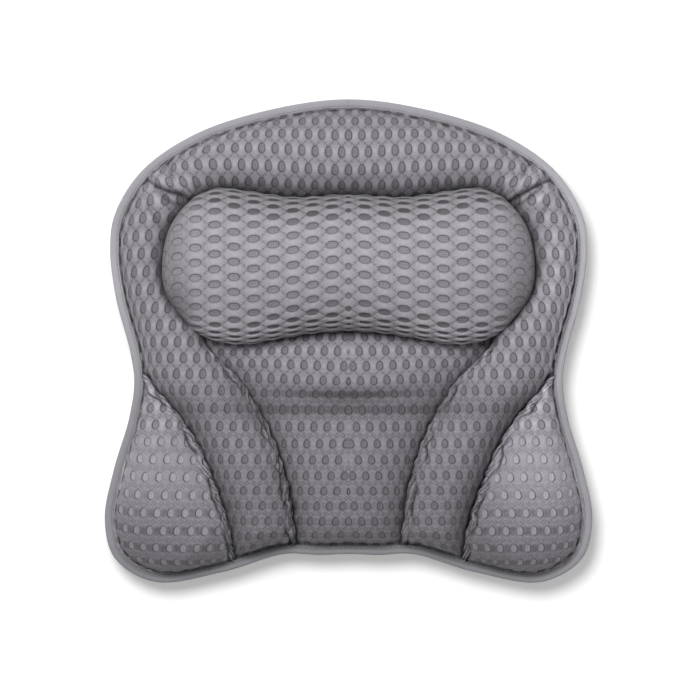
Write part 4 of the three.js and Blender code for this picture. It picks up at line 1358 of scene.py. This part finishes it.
def box_stitches(place):
    """Places and directions of the stitches in a crossed box on a tab's sewn end."""
    spots, ways = [], []
    for first, last in BOX_RUNS:
        way = BOX_CORNERS[last] - BOX_CORNERS[first]
        count = int(np.linalg.norm(way) / BOX_PITCH)
        for k in range(count):
            spots.append([*(place + BOX_CORNERS[first] + way * (k + 0.5) / count), BOX_Z])
            ways.append([*way, 0])
    return spots, ways


def add_cups_and_tabs():
    """Makes the cups and tabs, and returns the stitches on the tabs' sewn ends."""
    spots, ways = [], []
    for number, place in enumerate(scaled(CUP_SHARES), 1):
        cup = cup_mesh(place, f"cup_{number}")
        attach(cup, f"cup_{number}")
        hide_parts(f"suction_cup_{number}")
        tab = tab_mesh(place, f"tab_{number}")
        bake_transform(tab)
        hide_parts(f"cup_tab_{number}", f"tab_anchor_{number}")
        more_spots, more_ways = box_stitches(place)
        spots += more_spots
        ways += more_ways
    return stitches("anchor_stitches", np.array(spots), np.array(ways), *BOX_STITCH_SIZE)


# Stage: the floor is in millimetres, the lamps and the camera are in metres

FLOOR_CORNERS = [(-6000, -6000, 0), (6000, -6000, 0), (6000, 6000, 0), (-6000, 6000, 0)]
FLOOR_Z = -0.2
FLOOR_COLOUR = (0.86, 0.86, 0.86, 1)
FLOOR_GLOW = 0.26  # keeps the floor white to the camera
WORLD_LIGHT = 0.22
WHITE = (1, 1, 1, 1)
# Name, place, size and energy of each lamp
LAMPS = [("key", (-0.47, 0.78, 2.05), 1.1, 46), ("fill", (1.2, -0.9, 2.2), 1.6, 4)]
CAMERA_PLACE = (0.0012, -0.0076, 5.0)
SHOWN_HEIGHT = 0.023  # where the view is SHOWN_WIDTH wide
SHOWN_WIDTH = 0.560
SENSOR_WIDTH = 36


def seen_by(tree, *rays):
    """1 for the named kinds of ray, and 0 for all others."""
    path = tree.nodes.new("ShaderNodeLightPath")
    terms = [Term(tree, path.outputs[f"Is {ray} Ray"]) for ray in rays]
    seen = terms[0]
    for term in terms[1:]:
        seen = seen.math("MAXIMUM", term)
    return seen


def add_floor():
    material, tree, shader = start_material(
        "floor", Base_Color=FLOOR_COLOUR, Roughness=0.9, Emission_Color=WHITE)
    glow = seen_by(tree, "Camera", "Glossy", "Transmission") * FLOOR_GLOW
    tree.links.new(glow.socket, shader.inputs["Emission Strength"])
    floor = new_object("floor", FLOOR_CORNERS, [(0, 1, 2, 3)], material, False)
    floor.location.z = FLOOR_Z * MM


def add_world():
    world = bpy.data.worlds.new("studio")
    bpy.context.scene.world = world
    world.use_nodes = True
    background = world.node_tree.nodes["Background"]
    background.inputs["Color"].default_value = WHITE
    strength = seen_by(world.node_tree, "Camera", "Transmission") * (1 - WORLD_LIGHT) + WORLD_LIGHT
    world.node_tree.links.new(strength.socket, background.inputs["Strength"])


def add_lamp(name, place, size, energy):
    light = bpy.data.lights.new(name, "AREA")
    light.shape = "DISK"
    light.size = size
    light.energy = energy
    lamp = add_object(name, light)
    lamp.location = place
    lamp.rotation_euler = (-Vector(place)).to_track_quat("-Z", "Y").to_euler()


def add_camera():
    camera = bpy.data.cameras.new("camera")
    camera.sensor_width = SENSOR_WIDTH
    camera.lens = SENSOR_WIDTH * (CAMERA_PLACE[2] - SHOWN_HEIGHT) / SHOWN_WIDTH
    camera.clip_end = 50
    obj = add_object("camera", camera)
    obj.location = CAMERA_PLACE
    bpy.context.scene.camera = obj


# Build

pads = arch_pad(), centre_pad(), shoulder_pad()
shapes = [pad.grid for pad in pads]
shapes = simulate(shapes)
arch, centre, shoulder = zip(pads, shapes)
arch_piece = dense_arch(*arch)
centre_piece = dense_centre(*centre)
right_piece = dense_shoulder(*shoulder, "right", 1, 5)
left_piece = dense_shoulder(*shoulder, "left", -1, 7)
bolster_piece = dense_bolster()
back_piece = back_cloth()
seat_piece = seat()

for piece, name, nodes, fill in (
    (arch_piece, "mesh_cloth", ("arch_cover", "arch_filling"), 0.7),
    (centre_piece, "mesh_cloth", ("centre_cover", "centre_filling"), 0.6),
    (left_piece, "mesh_cloth", ("shoulder_left_cover", "shoulder_left_filling"), 0.7),
    (right_piece, "mesh_cloth", ("shoulder_right_cover", "shoulder_right_filling"), 0.7),
    (bolster_piece, "mesh_cloth", ("bolster_cover", "bolster_filling"), 0.9),
    (seat_piece, "mesh_cloth", ("seat_panel", "seat_filling"), 0.6),
    (back_piece, "mesh_cloth", ("back_panel",), None),
    (binding(outline), "binding_tape", ("edge_binding",), None),
    (binding_stitches(), "binding_tape", (), None),
    (add_cups_and_tabs(), "webbing", (), None),
):
    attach(piece, "pillow")
    if nodes:
        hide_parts(*nodes)

add_floor()
add_world()
for lamp in LAMPS:
    add_lamp(*lamp)
add_camera()
bpy.context.scene.view_settings.view_transform = "Standard"
